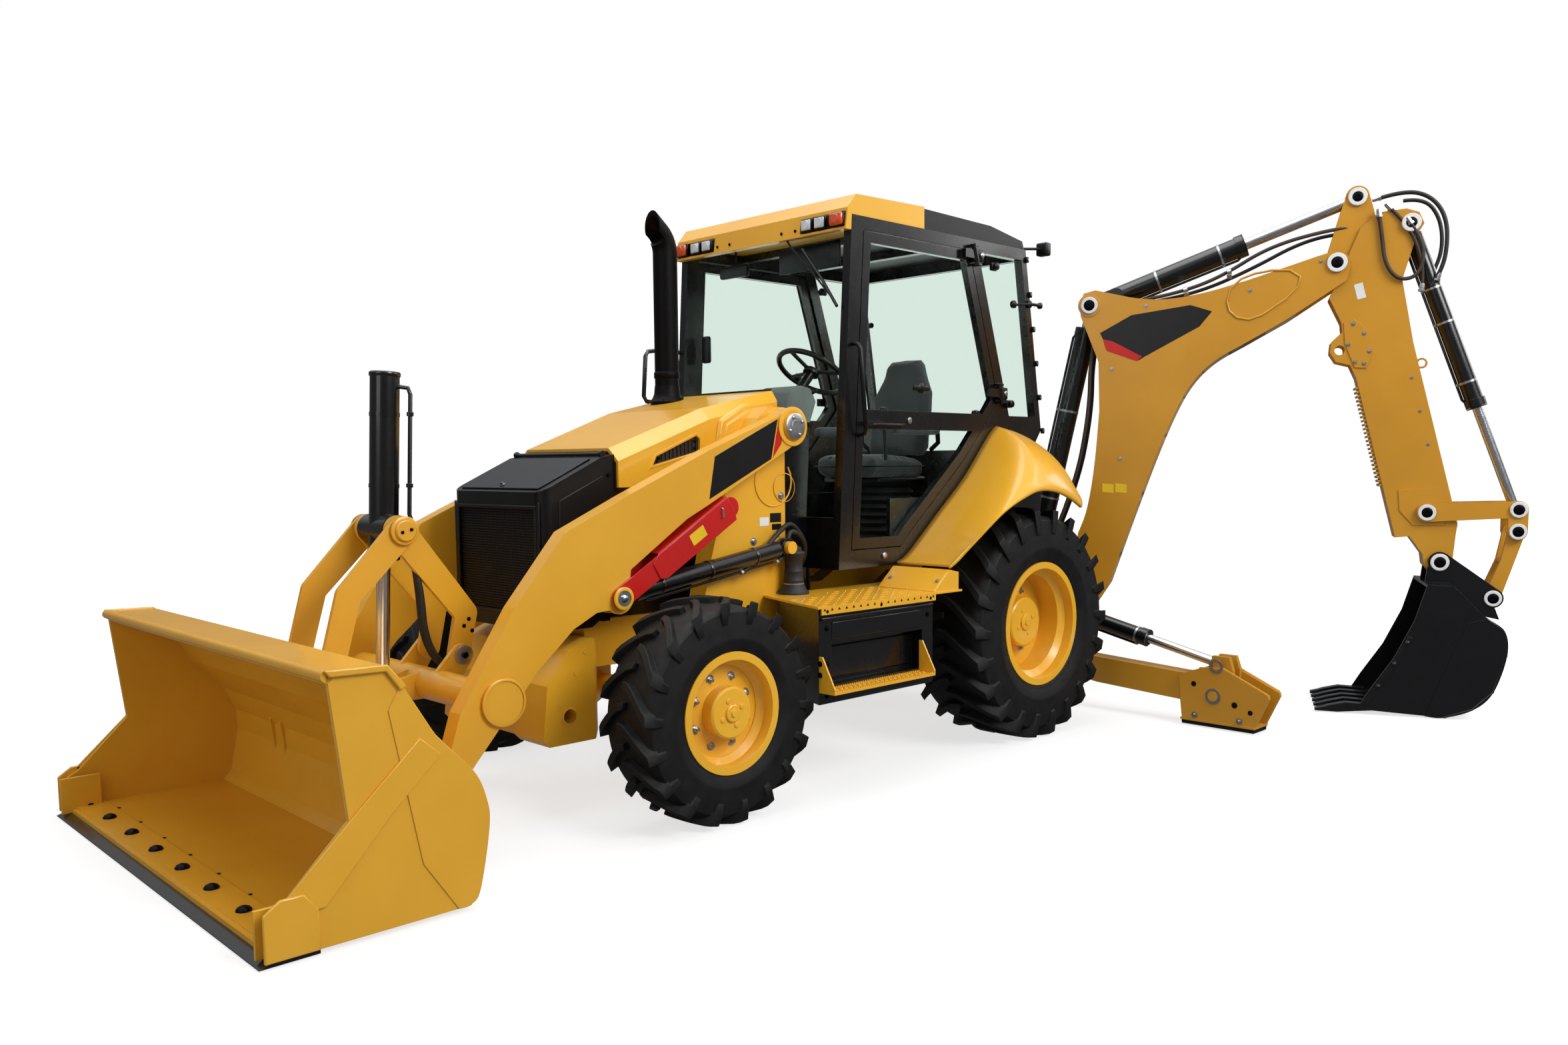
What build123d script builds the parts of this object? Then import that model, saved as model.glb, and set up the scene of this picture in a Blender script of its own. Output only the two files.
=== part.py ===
from build123d import *
from math import atan2, cos, degrees, hypot, radians, sin
import os

# A backhoe loader at full size, in millimetres. X points to the machine's left, Y to its rear, Z up.
# While it is modelled, the origin is on the ground under the rear axle's centre.
# Every piece is moved by `row_origin` as it is written, to the middle of the parked machine's footprint.
row_origin = (-409, 747, 0)

# ---- driving dimensions ----------------------------------------------------------------------------
running_gap = 6          # between faces that move past each other
seat_gap = 0.3           # between a piece and the one that carries it

# wheels
wheelbase = 2200
rear_track = 860         # machine centre to tyre centre
rear_tyre_radius = 620
rear_tyre_width = 484
rear_rim_radius = 305
front_track = 925
front_tyre_radius = 470
front_tyre_width = 310
front_rim_radius = 229
kingpin_x = 815
kingpin_radius = 34

# main frame and what it carries
weight_half = 420
tie_down = (-2560, 420)
tie_down_radius = 30
grille_half = 372
swing_pin_radius = 45
swing_shelves = ((420, 470), (800, 850))     # z from, z to
rail_x = 300             # outer face of each side rail
rail_width = 110
frame_low_front = 590
frame_high_front = 800
frame_low_rear = 720
frame_high_rear = 880
frame_front = -2395
frame_rear = 760
tower_in = 430           # loader tower, inner and outer faces
tower_out = 540
tower_rear = -1392

# steps and fenders
deck_in = 545
deck_low = 852
deck_high = 862
fender_out = 1080
fender_wall = 14
fender_line = [(-701, 975), (-608, 1020), (-362, 1222), (-132, 1412), (108, 1660), (200, 1678)]   # (y, z)
fender_back = [(345, 1645), (480, 1565), (575, 1400)]
fender_lip = [(-790, 985), (-735, 1004), (-590, 1082), (-330, 1222), (-150, 1308), (-30, 1342), (110, 1328),
              (250, 1290), (370, 1245)]

# loader, points as (y, z)
arm_in = 560
arm_out = 640
arm_pivot = (-1436, 1658)
lift_base = (-1450, 1088)
lift_pin = (-2443, 932)
lift_share = 0.9         # of the closed lift cylinder's length, taken by its barrel
cross_tube = (-3006, 576)
cross_tube_radius = 66
bucket_hinge = (-3290, 235)
lever_pivot = (-2908, 699)
lever_top = (-3153, 1228)
bucket_upper = (-3480, 640)
tilt_rod_pin = (-3184, 560)
brace_end = (-1838, 1291)
lever_in = 118           # lever plates' inner and outer faces
lever_out = 142
link_in = 150            # bucket links' inner and outer faces
link_out = 172
pin_play = 0.06          # radial clearance of a pin in its bore
bucket_half = 1131
bucket_plate = 18

# cab
cab_half = 650
cab_wall = 50
cab_floor = 960
cab_roof_low = 2690
rail_depth = 62
sill_top = 1050
a_post = ((-1092, 970), (-990, 2650))        # centre lines of the posts, low and high (y, z)
a_width = 84
b_post = ((240, 1740), (-98, 2755))
b_width = 76
c_post = ((590, 1553), (392, 2735))
c_width = 50
quarter_low = 1745
glass_low = 1215
glass_thick = 6
cowl_half = 410
cowl_front = -1322
door_thick = 38
door_border = 52
door_rise = 88           # the doorway's slope stands this far above the fender's line
belt_low = 1655
belt_high = 1750
door_hinge_low = (160, 1868)
door_hinge_high = (-78, 2604)
hinge_x = 676
hinge_pin = 8
hood_wall = 14
hood_sill = 1385
hood_line = [(-2265 + seat_gap, 1558), (-1760, 1745), (cowl_front - seat_gap, 1842)]    # top of the hood, (y, z)
exhaust_at = (-240, -1480)
exhaust_radius = 62
exhaust_bend = 2560

# backhoe, points as (reach from the swing axis, z)
swing_y = 1130
swing_rest = 65          # degrees towards the machine's left
boom_half = 110          # outer face of each boom side plate
boom_plate = 16
boom_foot = (510, 600)
boom_knuckle = (556, 2459)
boom_base_pin = (190, 725)
stick_pivot = (1976, 2635)
stick_lean = 14.2        # degrees outwards from plumb
inner_half = 68          # inner stick, half its width
outer_wall = 12
ear_in = 94              # ears, lever plates and bucket ears beside the stick
ear_out = 112
stick_cylinder_pin = (-340, 191)    # these four as (along the stick, across it) from its pivot
bucket_cylinder_pin = (-103, 425)
lever_pin = (1544, 146)
lever_cylinder_pin = (1640, 603)
lever_link_pin = (1761, 573)
hoe_pivot = (1842, 149)
hoe_link_pin = (2107, 370)
link_bow = 14               # bow of the bucket link away from the bucket
hoe_half = 305
hoe_teeth = 5
casting_in = 116         # swing casting's cheeks
casting_out = 140
stick_cylinder_share = 0.594
stick_retract = 600      # how far each rod can still run into its barrel
bucket_retract = 520
stabiliser_retract = 370
stabiliser_share = 0.65
inner_low = -31          # inner stick's faces across it, and its lower end along it
inner_high = 276
inner_end = 1480
thumb_pin = (499, -96)
thumb_radius = 28

# stabilisers, points as (x, z)
stab_y = 900
stab_depth = 110
stab_hinge = (420, 278)
stab_base_pin = (330, 655)
stab_rod_pin = (1660, 352)
stab_pad_pin = (1645, 183)
pad_low = 8


# ---- ways of making shapes -------------------------------------------------------------------------
def side(points, x0, x1, radius=0):
    """A plate between x0 and x1 with its outline given as (y, z) points."""
    face = make_face(Polyline(*points, close=True))
    if radius:
        face = fillet(face.vertices(), radius)
    return extrude(Plane.YZ.offset(x0) * face, x1 - x0)


def front(points, y0, y1, radius=0):
    """A plate between y0 and y1 with its outline given as (x, z) points."""
    face = make_face(Polyline(*points, close=True))
    if radius:
        face = fillet(face.vertices(), radius)
    return extrude(Plane.XZ.offset(-y0) * face, y0 - y1)


def plan(points, z0, z1, radius=0):
    """A plate between z0 and z1 with its outline given as (x, y) points."""
    face = make_face(Polyline(*points, close=True))
    if radius:
        face = fillet(face.vertices(), radius)
    return extrude(Plane.XY.offset(z0) * face, z1 - z0)


def box(x0, x1, y0, y1, z0, z1):
    return Pos((x0 + x1) / 2, (y0 + y1) / 2, (z0 + z1) / 2) * Box(x1 - x0, y1 - y0, z1 - z0)


def cross_pin(at, radius, x0, x1):
    """A round bar along X through the (y, z) point."""
    return extrude(Plane.YZ.offset(x0) * Pos(*at) * Circle(radius), x1 - x0)


def fore_pin(at, radius, y0, y1):
    """A round bar along Y through the (x, z) point."""
    return extrude(Plane.XZ.offset(-y0) * Pos(*at) * Circle(radius), y0 - y1)


def bar(start, end, radius):
    """A round bar between two points."""
    along = Vector(*end) - Vector(*start)
    return extrude(Plane(origin=start, z_dir=along) * Circle(radius), along.length)


def link(a, b, radius_a, radius_b, x0, x1):
    """A plate with round ends about two (y, z) points."""
    outline = make_hull([*(Pos(*a) * Circle(radius_a)).edges(), *(Pos(*b) * Circle(radius_b)).edges()])
    return extrude(Plane.YZ.offset(x0) * outline, x1 - x0)


def both(shape):
    """A piece and its mirror on the machine's other side, as separate solids."""
    return Compound([*shape.solids(), *mirror(shape, about=Plane.YZ).solids()])


def along(a, b, share):
    return (a[0] + (b[0] - a[0]) * share, a[1] + (b[1] - a[1]) * share)


def toward(a, b, distance):
    length = hypot(b[0] - a[0], b[1] - a[1])
    return along(a, b, distance / length)


def on_stick(s, t):
    """(reach, z) of a point given along and across the stick."""
    lean = radians(stick_lean)
    return (stick_pivot[0] + s * sin(lean) + t * cos(lean), stick_pivot[1] - s * cos(lean) + t * sin(lean))


stick_rod = on_stick(*stick_cylinder_pin)
backhoe = Pos(0, swing_y, 0) * Rot(0, 0, -swing_rest)


# ---- wheels ----------------------------------------------------------------------------------------
def tyre(radius, width, bead):
    """A closed ring with its crown, shoulders and side walls, about the X axis."""
    half = width / 2
    wall = radius - bead
    # share of the wall's height, share of the half width
    profile = [(0, 0.84), (0.11, 0.84), (0.16, 0.9), (0.36, 1), (0.62, 1), (0.9, 0.96), (0.96, 0.85), (1, 0.5)]
    one = [(bead + wall * up, -half * out) for up, out in profile]
    other = [(bead + wall * up, half * out) for up, out in reversed(profile)]
    face = make_face(Polyline(*one, *other, close=True))
    return Rot(0, 90, 0) * revolve(Plane.XZ * face, Axis.Z)


def rim(bead, width, disc_at, hub_radius, hub_face, flange):
    """A rolled barrel with flanges, a dished disc and a hub cap, opening towards +X."""
    half = width / 2 * 0.84
    seat = bead - seat_gap
    well = bead * 0.88
    wall = 9
    barrel = [(seat, -half), (seat, -half + 35), (well, -half + 60), (well, half - 60), (seat, half - 35),
              (seat, half + seat_gap), (flange, half + seat_gap), (flange, half + 12),
              (seat - wall, half + 12), (seat - wall, half - 40), (well - wall, half - 65),
              (well - wall, -half + 65), (seat - wall, -half + 40), (seat - wall, -half - 12),
              (flange, -half - 12), (flange, -half - seat_gap), (seat, -half - seat_gap)]
    shape = revolve(Plane.XZ * make_face(Polyline(*barrel, close=True)), Axis.Z)
    disc = [(0, disc_at - 14), (well - 1, disc_at - 14), (well - 1, disc_at), (hub_radius * 1.5, disc_at),
            (hub_radius, disc_at + 10), (hub_radius, hub_face - 8), (hub_radius - 8, hub_face), (0, hub_face)]
    shape += revolve(Plane.XZ * make_face(Polyline(*disc, close=True)), Axis.Z)
    return Rot(0, 90, 0) * shape


def wheels():
    pieces = {}
    # name, tyre centre's x, its y, radius, width, bead radius, disc, hub radius, hub face, flange radius
    table = [("rear", rear_track, 0, rear_tyre_radius, rear_tyre_width, rear_rim_radius, 20, 134, 106, 331),
             ("front", front_track, -wheelbase, front_tyre_radius, front_tyre_width, front_rim_radius,
              60, 108, 134, 254)]
    for name, x, y, radius, width, bead, disc_at, hub_radius, hub_face, flange in table:
        at = Pos(x, y, radius)
        for side_name, turn in (("left", Rot(0, 0, 0)), ("right", Rot(0, 0, 180))):
            place = at if side_name == "left" else Pos(-x, y, radius) * turn
            pieces[f"tyre_{name}_{side_name}"] = place * tyre(radius, width, bead)
            pieces[f"rim_{name}_{side_name}"] = place * rim(bead, width, disc_at, hub_radius, hub_face, flange)
    return pieces


def axles():
    """Front beam with a yoke at each kingpin, its knuckles, and the rear axle's housing."""
    y, z = -wheelbase, front_tyre_radius
    fork = kingpin_x - 20
    beam = bar((-fork, y, z), (fork, y, z), 58)
    beam += Pos(0, y, z) * Sphere(118)
    beam += box(-95, 95, y - 90, y + 90, z, frame_low_front - seat_gap)
    for sign in (-1, 1):
        x = sign * kingpin_x
        beam += Pos(x, y, z) * Cylinder(45, 124)
        beam += Pos(x, y, z) * Cylinder(kingpin_radius, 170)
    knuckle = Pos(kingpin_x, y, z) * (Cylinder(60, 170) - Cylinder(62, 136))
    hub = bar((kingpin_x + 62, y, z), (front_track + 60 - 14 - seat_gap, y, z), 84)
    knuckle += hub + box(kingpin_x + 54, kingpin_x + 74, y - 60, y + 60, z - 85, z + 85)
    knuckle += box(kingpin_x - 20, kingpin_x + 74, y - 40, y + 40, z + 68, z + 85)
    knuckle += box(kingpin_x - 20, kingpin_x + 74, y - 40, y + 40, z - 85, z - 68)
    knuckle -= Pos(kingpin_x, y, z) * Cylinder(kingpin_radius + pin_play, 180)
    rear_z = rear_tyre_radius
    tube = bar((-560, 0, rear_z), (560, 0, rear_z), 92) + Pos(0, 0, rear_z) * Sphere(190)
    ends = bar((540, 0, rear_z), (rear_track + 20 - 14 - seat_gap, 0, rear_z), 150)
    tube += ends + mirror(ends, about=Plane.YZ)
    for sign in (-1, 1):
        pad_x = sign * (rail_x - rail_width / 2)
        tube += box(pad_x - 50, pad_x + 50, -80, 80, rear_z, frame_low_rear - seat_gap)
    return {"front_axle": beam, "knuckle_left": knuckle, "knuckle_right": mirror(knuckle, about=Plane.YZ),
            "rear_axle": tube}


# ---- chassis ---------------------------------------------------------------------------------------
def main_frame():
    """Two box rails, the loader towers on their outriggers, and the rear frame that carries the backhoe."""
    inner = rail_x - rail_width
    rail = side([(frame_front, frame_low_front), (frame_front, frame_high_front), (-400, frame_high_front),
                 (-250, frame_high_rear), (frame_rear, frame_high_rear), (frame_rear, frame_low_rear),
                 (-300, frame_low_rear), (-480, frame_low_front)], inner, rail_x)
    frame = rail + mirror(rail, about=Plane.YZ)
    # cross members: y from, y to, z from, z to
    for y0, y1, z0, z1 in ((frame_front, frame_front + 60, 600, 790), (-2290, -2110, frame_low_front, 720),
                           (-1500, -1400, 620, 760), (-650, -550, 620, 760), (500, frame_rear, 730, 870)):
        frame += box(-inner - 5, inner + 5, y0, y1, z0, z1)
    tower = side([(tower_rear, 740), (tower_rear, 1752), (-1500, 1752), (-1560, 1700), (-1765, 1369),
                  (-1859, 1058), (-1935, 740)], tower_in, tower_out)
    tower += box(rail_x - 5, tower_out, -1850, tower_rear - 20, 640, 760)
    tower += cross_pin(arm_pivot, 40, tower_out - 5, arm_out + 12) + cross_pin(arm_pivot, 92, tower_out - 5, arm_in - 1)
    tower += cross_pin(arm_pivot, 62, arm_out + 6, arm_out + 18)
    tower += cross_pin(lift_base, 30, tower_out - 5, arm_out + 10) + cross_pin(lift_base, 44, tower_out - 5, 572)
    frame += tower + mirror(tower, about=Plane.YZ)
    # rear frame: upright plate, stabiliser sockets and the two shelves that hold the swing pins
    frame += box(-560, 560, frame_rear - 5, frame_rear + 60, 240, 900)
    neck = swing_y - 130
    for z0, z1 in swing_shelves:
        shelf = plan([(-330, frame_rear), (330, frame_rear), (100, neck), (100, swing_y), (-100, swing_y),
                      (-100, neck)], z0, z1)
        shelf += Pos(0, swing_y, (z0 + z1) / 2) * Cylinder(108, z1 - z0)
        frame += shelf - Pos(0, swing_y, (z0 + z1) / 2) * Cylinder(swing_pin_radius + pin_play, z1 - z0 + 2)
    web = box(-40, 40, frame_rear + 50, swing_y - 170, swing_shelves[0][1] - 5, swing_shelves[1][0] + 5)
    frame += web
    low, high = stab_y - stab_depth / 2, stab_y + stab_depth / 2
    for sign in (-1, 1):
        for y0, y1 in ((low - 30, low - running_gap), (high + running_gap, high + 25)):
            ears = front([(sign * 180, 250), (sign * 180, 740), (sign * 400, 740), (sign * 500, 560),
                          (sign * 500, 215), (sign * 300, 215)], y0, y1)
            frame += ears
        frame += box(min(sign * 180, sign * 240), max(sign * 180, sign * 240), frame_rear + 50, high + 30, 300, 460)
        for at in (stab_hinge, stab_base_pin):
            frame += fore_pin((sign * at[0], at[1]), 26, low - 30, high + 30)
    return frame


def counterweight():
    """A cast front weight hung on the frame's front face, with a tie-down hole through each cheek."""
    weight = side([(frame_front - seat_gap, 330), (frame_front - seat_gap, 735), (-2452, 742), (-2560, 700),
                   (-2665, 560), (-2690, 330), (-2660, 300), (-2430, 300)], -weight_half, weight_half)
    weight = chamfer(weight.edges().filter_by(Axis.Z), 30)
    weight -= box(-190, 190, -2800, -2620, 250, 650)
    return weight - cross_pin(tie_down, tie_down_radius, -weight_half - 1, weight_half + 1)


def engine_block():
    """The engine and its radiator as one plain mass under the hood, standing on the rails."""
    block = box(-280, 280, -2250, -1480, frame_high_front + seat_gap, 1330)
    return block


def grille_shell():
    """Front hood section: a mesh face between rounded corners, and a top that slopes to the front."""
    half = grille_half
    outline = [(-2640, 780), (-2640, 1372), (-2333, 1518), (-2265, 1530), (-2265, 870), (-2400, 780)]
    shell = side(outline, -half, half)
    corners = shell.edges().filter_by(Axis.Z).sort_by(Axis.Y)[:2]
    shell = fillet(corners, 55)
    mouth = box(-half + 55, half - 55, -2700, -2500, 850, 1300)
    keep = shell - side([(-2622, 700), (-2622, 1355), (-2330, 1495), (-2200, 1505), (-2200, 700)], -half + 22, half - 22)
    face = box(-half + 40, half - 40, -2626, -2614, 800, 1345)
    foot = box(240, half - 5, -2340, -2300, frame_high_front + seat_gap, 900)
    return (keep - mouth) + face + foot + mirror(foot, about=Plane.YZ)


def hood():
    """The engine hood: a skin that widens and rises to the rear, open below and at both ends."""
    # half width at the sill, half width at the shoulder, shoulder z, half width on top
    widths = [(400, 400, 1500, 330), (418, 418, 1690, 360), (418, 418, 1790, 380)]
    outer, inner = [], []
    for (y, top_z), (sill, shoulder, shoulder_z, top) in zip(hood_line, widths):
        sill_z = hood_sill
        half = [(sill, sill_z), (shoulder, shoulder_z), (top, top_z)]
        skin = half + [(-x, z) for x, z in reversed(half)]
        outer.append(Plane.XZ.offset(-y) * make_face(Polyline(*skin, close=True)))
        cavity = [(sill - hood_wall, sill_z - 5), (shoulder - hood_wall, shoulder_z - 8), (top - 8, top_z - hood_wall)]
        cavity += [(-x, z) for x, z in reversed(cavity)]
        inner.append(Plane.XZ.offset(-y) * make_face(Polyline(*cavity, close=True)))
    skin = loft(outer[:2], ruled=True) + loft(outer[1:], ruled=True)
    cavity = loft(inner[:2], ruled=True) + loft(inner[1:], ruled=True)
    shell = skin - cavity
    for sign in (-1, 1):
        vent = side([(-2082, 1480), (-2062, 1520), (-1835, 1615), (-1815, 1600), (-1815, 1545)], 380, 450)
        shell -= vent if sign > 0 else mirror(vent, about=Plane.YZ)
    shell -= Pos(*exhaust_at, 1800) * Cylinder(exhaust_radius + 8, 200)
    return shell


def exhaust_stack():
    """A straight pipe with a flared foot and an outlet that bends forwards and is cut off upright."""
    x, y = exhaust_at
    r = exhaust_radius
    pipe = bar((x, y, 1700), (x, y, exhaust_bend), r)
    rise = (hood_line[2][1] - hood_line[1][1]) / (hood_line[2][0] - hood_line[1][0])
    foot_z = hood_line[1][1] + rise * (y - hood_line[1][0])
    foot = Plane(origin=(x, y, foot_z), z_dir=(0, -rise, 1))
    pipe += extrude(foot.offset(seat_gap) * Circle(r + 24), 10) + extrude(foot.offset(8) * Circle(r + 10), 26, taper=14)
    upright = Plane(origin=(x, y, exhaust_bend), x_dir=(0, -1, 0), z_dir=(-1, 0, 0))
    curve = upright * CenterArc((130, 0), 130, 180, -50)
    pipe += sweep(Plane(origin=(x, y, exhaust_bend)) * Circle(r), path=curve)
    mouth = curve @ 1
    pipe += bar(tuple(mouth), tuple(mouth + (curve % 1) * 150), r)
    pipe -= box(x - 100, x + 100, y - 400, y - r - 16, 2500, 3000)
    return pipe - bar((x, y - 150, exhaust_bend + 175), (x, y - 40, exhaust_bend + 60), r - 5)


# ---- cab -------------------------------------------------------------------------------------------
def on_line(a, b, z):
    return a[0] + (b[0] - a[0]) * (z - a[1]) / (b[1] - a[1])


def door_outline(grow):
    """The doorway's outline, following the posts, the roof rail, the sill and the fender."""
    low, high = sill_top - grow, cab_roof_low - rail_depth + grow
    front_low = on_line(*a_post, low) + a_width / 2 - grow
    front_high = on_line(*a_post, high) + a_width / 2 - grow
    rear_high = on_line(*b_post, high) - b_width / 2 + grow
    corner_z = fender_line[-1][1] + door_rise + 60
    rear_low = on_line(*b_post, corner_z) - b_width / 2 + grow
    slope = [(y, z + door_rise - grow) for y, z in fender_line[1:-1]]
    return [(front_low, low), (slope[0][0] - 60, low), *slope, (rear_low, corner_z),
            (rear_high, high), (front_high, high)]


def cab_frame():
    """Side walls with the doorway and quarter window cut, roof rails, floor tub and the cowl."""
    skin = cab_half - cab_wall
    front_edge = [(on_line(*a_post, z) - a_width / 2, z) for z in (cab_floor, cab_roof_low)]
    rear_edge = [(on_line(*c_post, z) + c_width / 2, z) for z in (cab_roof_low, 1572)]
    wall = side([*front_edge, *rear_edge, (590, cab_floor)], skin, cab_half)
    wall -= side([(y, z) for y, z in door_outline(0)], skin - 1, cab_half + 1)
    wall -= side(quarter_outline(0), skin - 1, cab_half + 1)
    # the part of the wall that faces the wheel ends at the fender's top
    wall -= side([(520, 1572), (700, 1572), (700, 1700), (620, 1700)], skin - 1, cab_half + 1)
    # beside the tyre the wall stands further in
    wall += box(skin - 20, skin + 4, -700, 585, cab_floor, 1300)
    wall -= cross_pin((0, rear_tyre_radius), rear_tyre_radius + 40, skin + 4, cab_half + 1)
    for at in (door_hinge_low, door_hinge_high):
        wall += hinge_leaf(*at)
    frame = wall + mirror(wall, about=Plane.YZ)
    reach = skin + 1
    frame += box(-reach, reach, -1120, 590, cab_floor, cab_floor + 35)
    frame += box(-reach, reach, 560, 590, cab_floor, 1560)
    frame += side(windscreen_band(cab_floor, glass_low), -reach, reach)
    frame += side(windscreen_band(cab_roof_low - rail_depth, cab_roof_low), -reach, reach)
    high_y = on_line(*c_post, cab_roof_low - rail_depth)
    frame += box(-reach, reach, high_y - 20, high_y + 18, cab_roof_low - rail_depth, cab_roof_low)
    for y in (-600, -100):
        frame += box(-reach, reach, y - 25, y + 25, cab_roof_low - 40, cab_roof_low)
    cowl = [(cowl_front, 1000), (cowl_front, 1690), (on_line(*a_post, 1690) - a_width / 2 + 1, 1690),
            (on_line(*a_post, 1000) - a_width / 2 + 1, 1000)]
    frame += side(cowl, -cowl_half, cowl_half)
    for y, rail_top in ((-1000, frame_high_front), (450, frame_high_rear)):
        for x in (-245, 245):
            foot = rail_top + seat_gap
            frame += Pos(x, y, (foot + cab_floor) / 2 + 1) * Cylinder(50, cab_floor - foot + 2)
    return frame


def windscreen_band(low, high):
    """A band of the cab's front face between two heights, in side view."""
    front_low, front_high = on_line(*a_post, low) - a_width / 2, on_line(*a_post, high) - a_width / 2
    return [(front_low, low), (front_low + 40, low), (front_high + 40, high), (front_high, high)]


def quarter_outline(grow):
    """The rear side window's opening between the door post and the rear post."""
    low, high = quarter_low - grow, cab_roof_low - rail_depth + grow
    return [(on_line(*b_post, low) + b_width / 2 - grow, low), (on_line(*c_post, low) - c_width / 2 + grow, low),
            (on_line(*c_post, high) - c_width / 2 + grow, high), (on_line(*b_post, high) + b_width / 2 - grow, high)]


def cab_glass():
    """Windscreen, rear window and quarter windows, each its own pane."""
    inside = cab_half - cab_wall - seat_gap
    top = cab_roof_low - rail_depth - seat_gap
    screen_low, screen_high = on_line(*a_post, glass_low), on_line(*a_post, top)
    lean = a_width / 2 - 18
    screen = side([(screen_low - lean, glass_low + seat_gap), (screen_low - lean + glass_thick, glass_low + seat_gap),
                   (screen_high - lean + glass_thick, top), (screen_high - lean, top)], -inside, inside)
    back_low, back_high = on_line(*c_post, 1560), on_line(*c_post, top)
    back = side([(back_low - 6, 1560 + seat_gap), (back_low, 1560 + seat_gap), (back_high, top), (back_high - 6, top)],
                -inside, inside)
    quarter = side(quarter_outline(-seat_gap), cab_half - 26, cab_half - 20)
    return Compound([screen.solid(), back.solid(), quarter.solid(), mirror(quarter, about=Plane.YZ).solid()])


def hinge_line(y, z):
    """A hinge's centre and the direction of the door's leaning axis."""
    axis = Vector(0, door_hinge_high[0] - door_hinge_low[0], door_hinge_high[1] - door_hinge_low[1]).normalized()
    return Vector(hinge_x, y, z), axis


def hinge_leaf(y, z):
    """The post's half of a door hinge: an ear above and below the door's knuckle, and the pin."""
    centre, axis = hinge_line(y, z)
    leaf = bar(tuple(centre - axis * 58), tuple(centre + axis * 58), hinge_pin)
    for up in (-51, 51):
        ear = centre + axis * up
        leaf += bar(tuple(ear - axis * 7), tuple(ear + axis * 7), 14)
        leaf += box(cab_half - 1, hinge_x, ear.Y - 4, ear.Y + 45, ear.Z - 5, ear.Z + 5)
    return leaf


def doors():
    """Rear-hinged doors: a pressed frame with a belt rail, two panes, two hinges and a handle."""
    outline = door_outline(-running_gap)
    face = make_face(Polyline(*outline, close=True))
    hole = offset(face, -door_border, kind=Kind.INTERSECTION)
    low_x, high_x = cab_half - door_thick, cab_half
    panel = extrude(Plane.YZ.offset(low_x) * face, door_thick)
    window = extrude(Plane.YZ.offset(low_x - 1) * hole, door_thick + 2)
    belt = box(low_x - 2, high_x + 2, -1200, 400, belt_low, belt_high)
    frame = panel - (window - belt)
    for y, z in (door_hinge_low, door_hinge_high):
        centre, axis = hinge_line(y, z)
        frame += bar(tuple(centre - axis * 40), tuple(centre + axis * 40), 14)
        frame += box(cab_half + 2, hinge_x + 4, y - 90, y, z - 23, z + 23)
        frame += box(cab_half - 1, cab_half + 3, y - 90, y - 20, z - 23, z + 23)
        frame -= bar(tuple(centre - axis * 60), tuple(centre + axis * 60), hinge_pin + pin_play)
    frame += box(cab_half - 1, cab_half + 34, -960, -840, 1668, 1692)
    panes = extrude(Plane.YZ.offset(cab_half - 24) * offset(hole, -seat_gap, kind=Kind.INTERSECTION), glass_thick)
    panes -= box(low_x - 2, high_x + 2, -1200, 400, belt_low - seat_gap, belt_high + seat_gap)
    glass = Compound(panes.solids())
    return {"door_left": frame, "door_right": mirror(frame, about=Plane.YZ), "door_glass_left": glass,
            "door_glass_right": Compound(mirror(glass, about=Plane.YZ).solids())}


def cab_visor():
    """The moulded cap over the windscreen, hollowed at each corner for the lamps."""
    cap = side([(-1075, cab_roof_low - 75), (-1060, cab_roof_low + 30), (-1000, cab_roof_low + 100),
                (-480, cab_roof_low + 112), (-480, cab_roof_low + seat_gap), (-1031, cab_roof_low + seat_gap),
                (-1036, cab_roof_low - 75)], -cab_half, cab_half)
    for sign in (-1, 1):
        x0, x1 = sorted((sign * 330, sign * 640))
        cap -= box(x0, x1, -1100, -1054, cab_roof_low - 62, cab_roof_low + 12)
    return cap


def cab_roof():
    """The roof skin behind the visor, falling towards the rear."""
    low = cab_roof_low + seat_gap
    return side([(-480 + seat_gap, low), (-480 + seat_gap, cab_roof_low + 104), (100, cab_roof_low + 92),
                 (400, cab_roof_low + 45), (418, low)], -cab_half + 6, cab_half - 6)


def operator_seat():
    """Suspension seat: bellows, cushion, backrest and armrests."""
    floor = cab_floor + 35 + seat_gap
    seat = box(-190, 190, -330, 60, floor, 1400)
    seat += side([(-440, 1400), (-450, 1500), (-400, 1540), (60, 1510), (80, 1400)], -250, 250)
    seat += side([(20, 1450), (60, 1450), (170, 2090), (130, 2120), (80, 2090)], -240, 240, 12)
    for sign in (-1, 1):
        x0, x1 = sorted((sign * 265, sign * 325))
        seat += box(x0, x1, -330, 80, 1640, 1700) + box(min(x0, sign * 235), max(x1, sign * 240), 30, 90, 1600, 1690)
    return seat


def steering_console():
    """The dash pedestal with its column and steering wheel."""
    floor = cab_floor + 35 + seat_gap
    body = side([(-1060, floor), (-1060, 1500), (-960, 1880), (-820, 1900), (-760, 1820), (-900, 1500), (-930, floor)],
                -150, 150, 25)
    centre = Vector(0, -660, 1985)
    tilt = Plane(origin=centre, z_dir=(0, 0.55, 0.84))
    column = bar((0, -850, 1780), tuple(centre), 28)
    ring = tilt.location * Torus(195, 15)
    spokes = tilt.location * (Box(390, 36, 16) + Pos(0, -95, 0) * Box(36, 190, 16))
    return body + column + ring + spokes


# ---- fenders and steps -----------------------------------------------------------------------------
def ribbon(points, wall):
    """A closed outline: an open (y, z) line and its copy moved by the wall to its right."""
    inner = []
    for i, (y, z) in enumerate(points):
        before, after = points[max(i - 1, 0)], points[min(i + 1, len(points) - 1)]
        turn = atan2(after[1] - before[1], after[0] - before[0])
        inner.append((y + wall * sin(turn), z - wall * cos(turn)))
    return [*points, *reversed(inner)]


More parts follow.
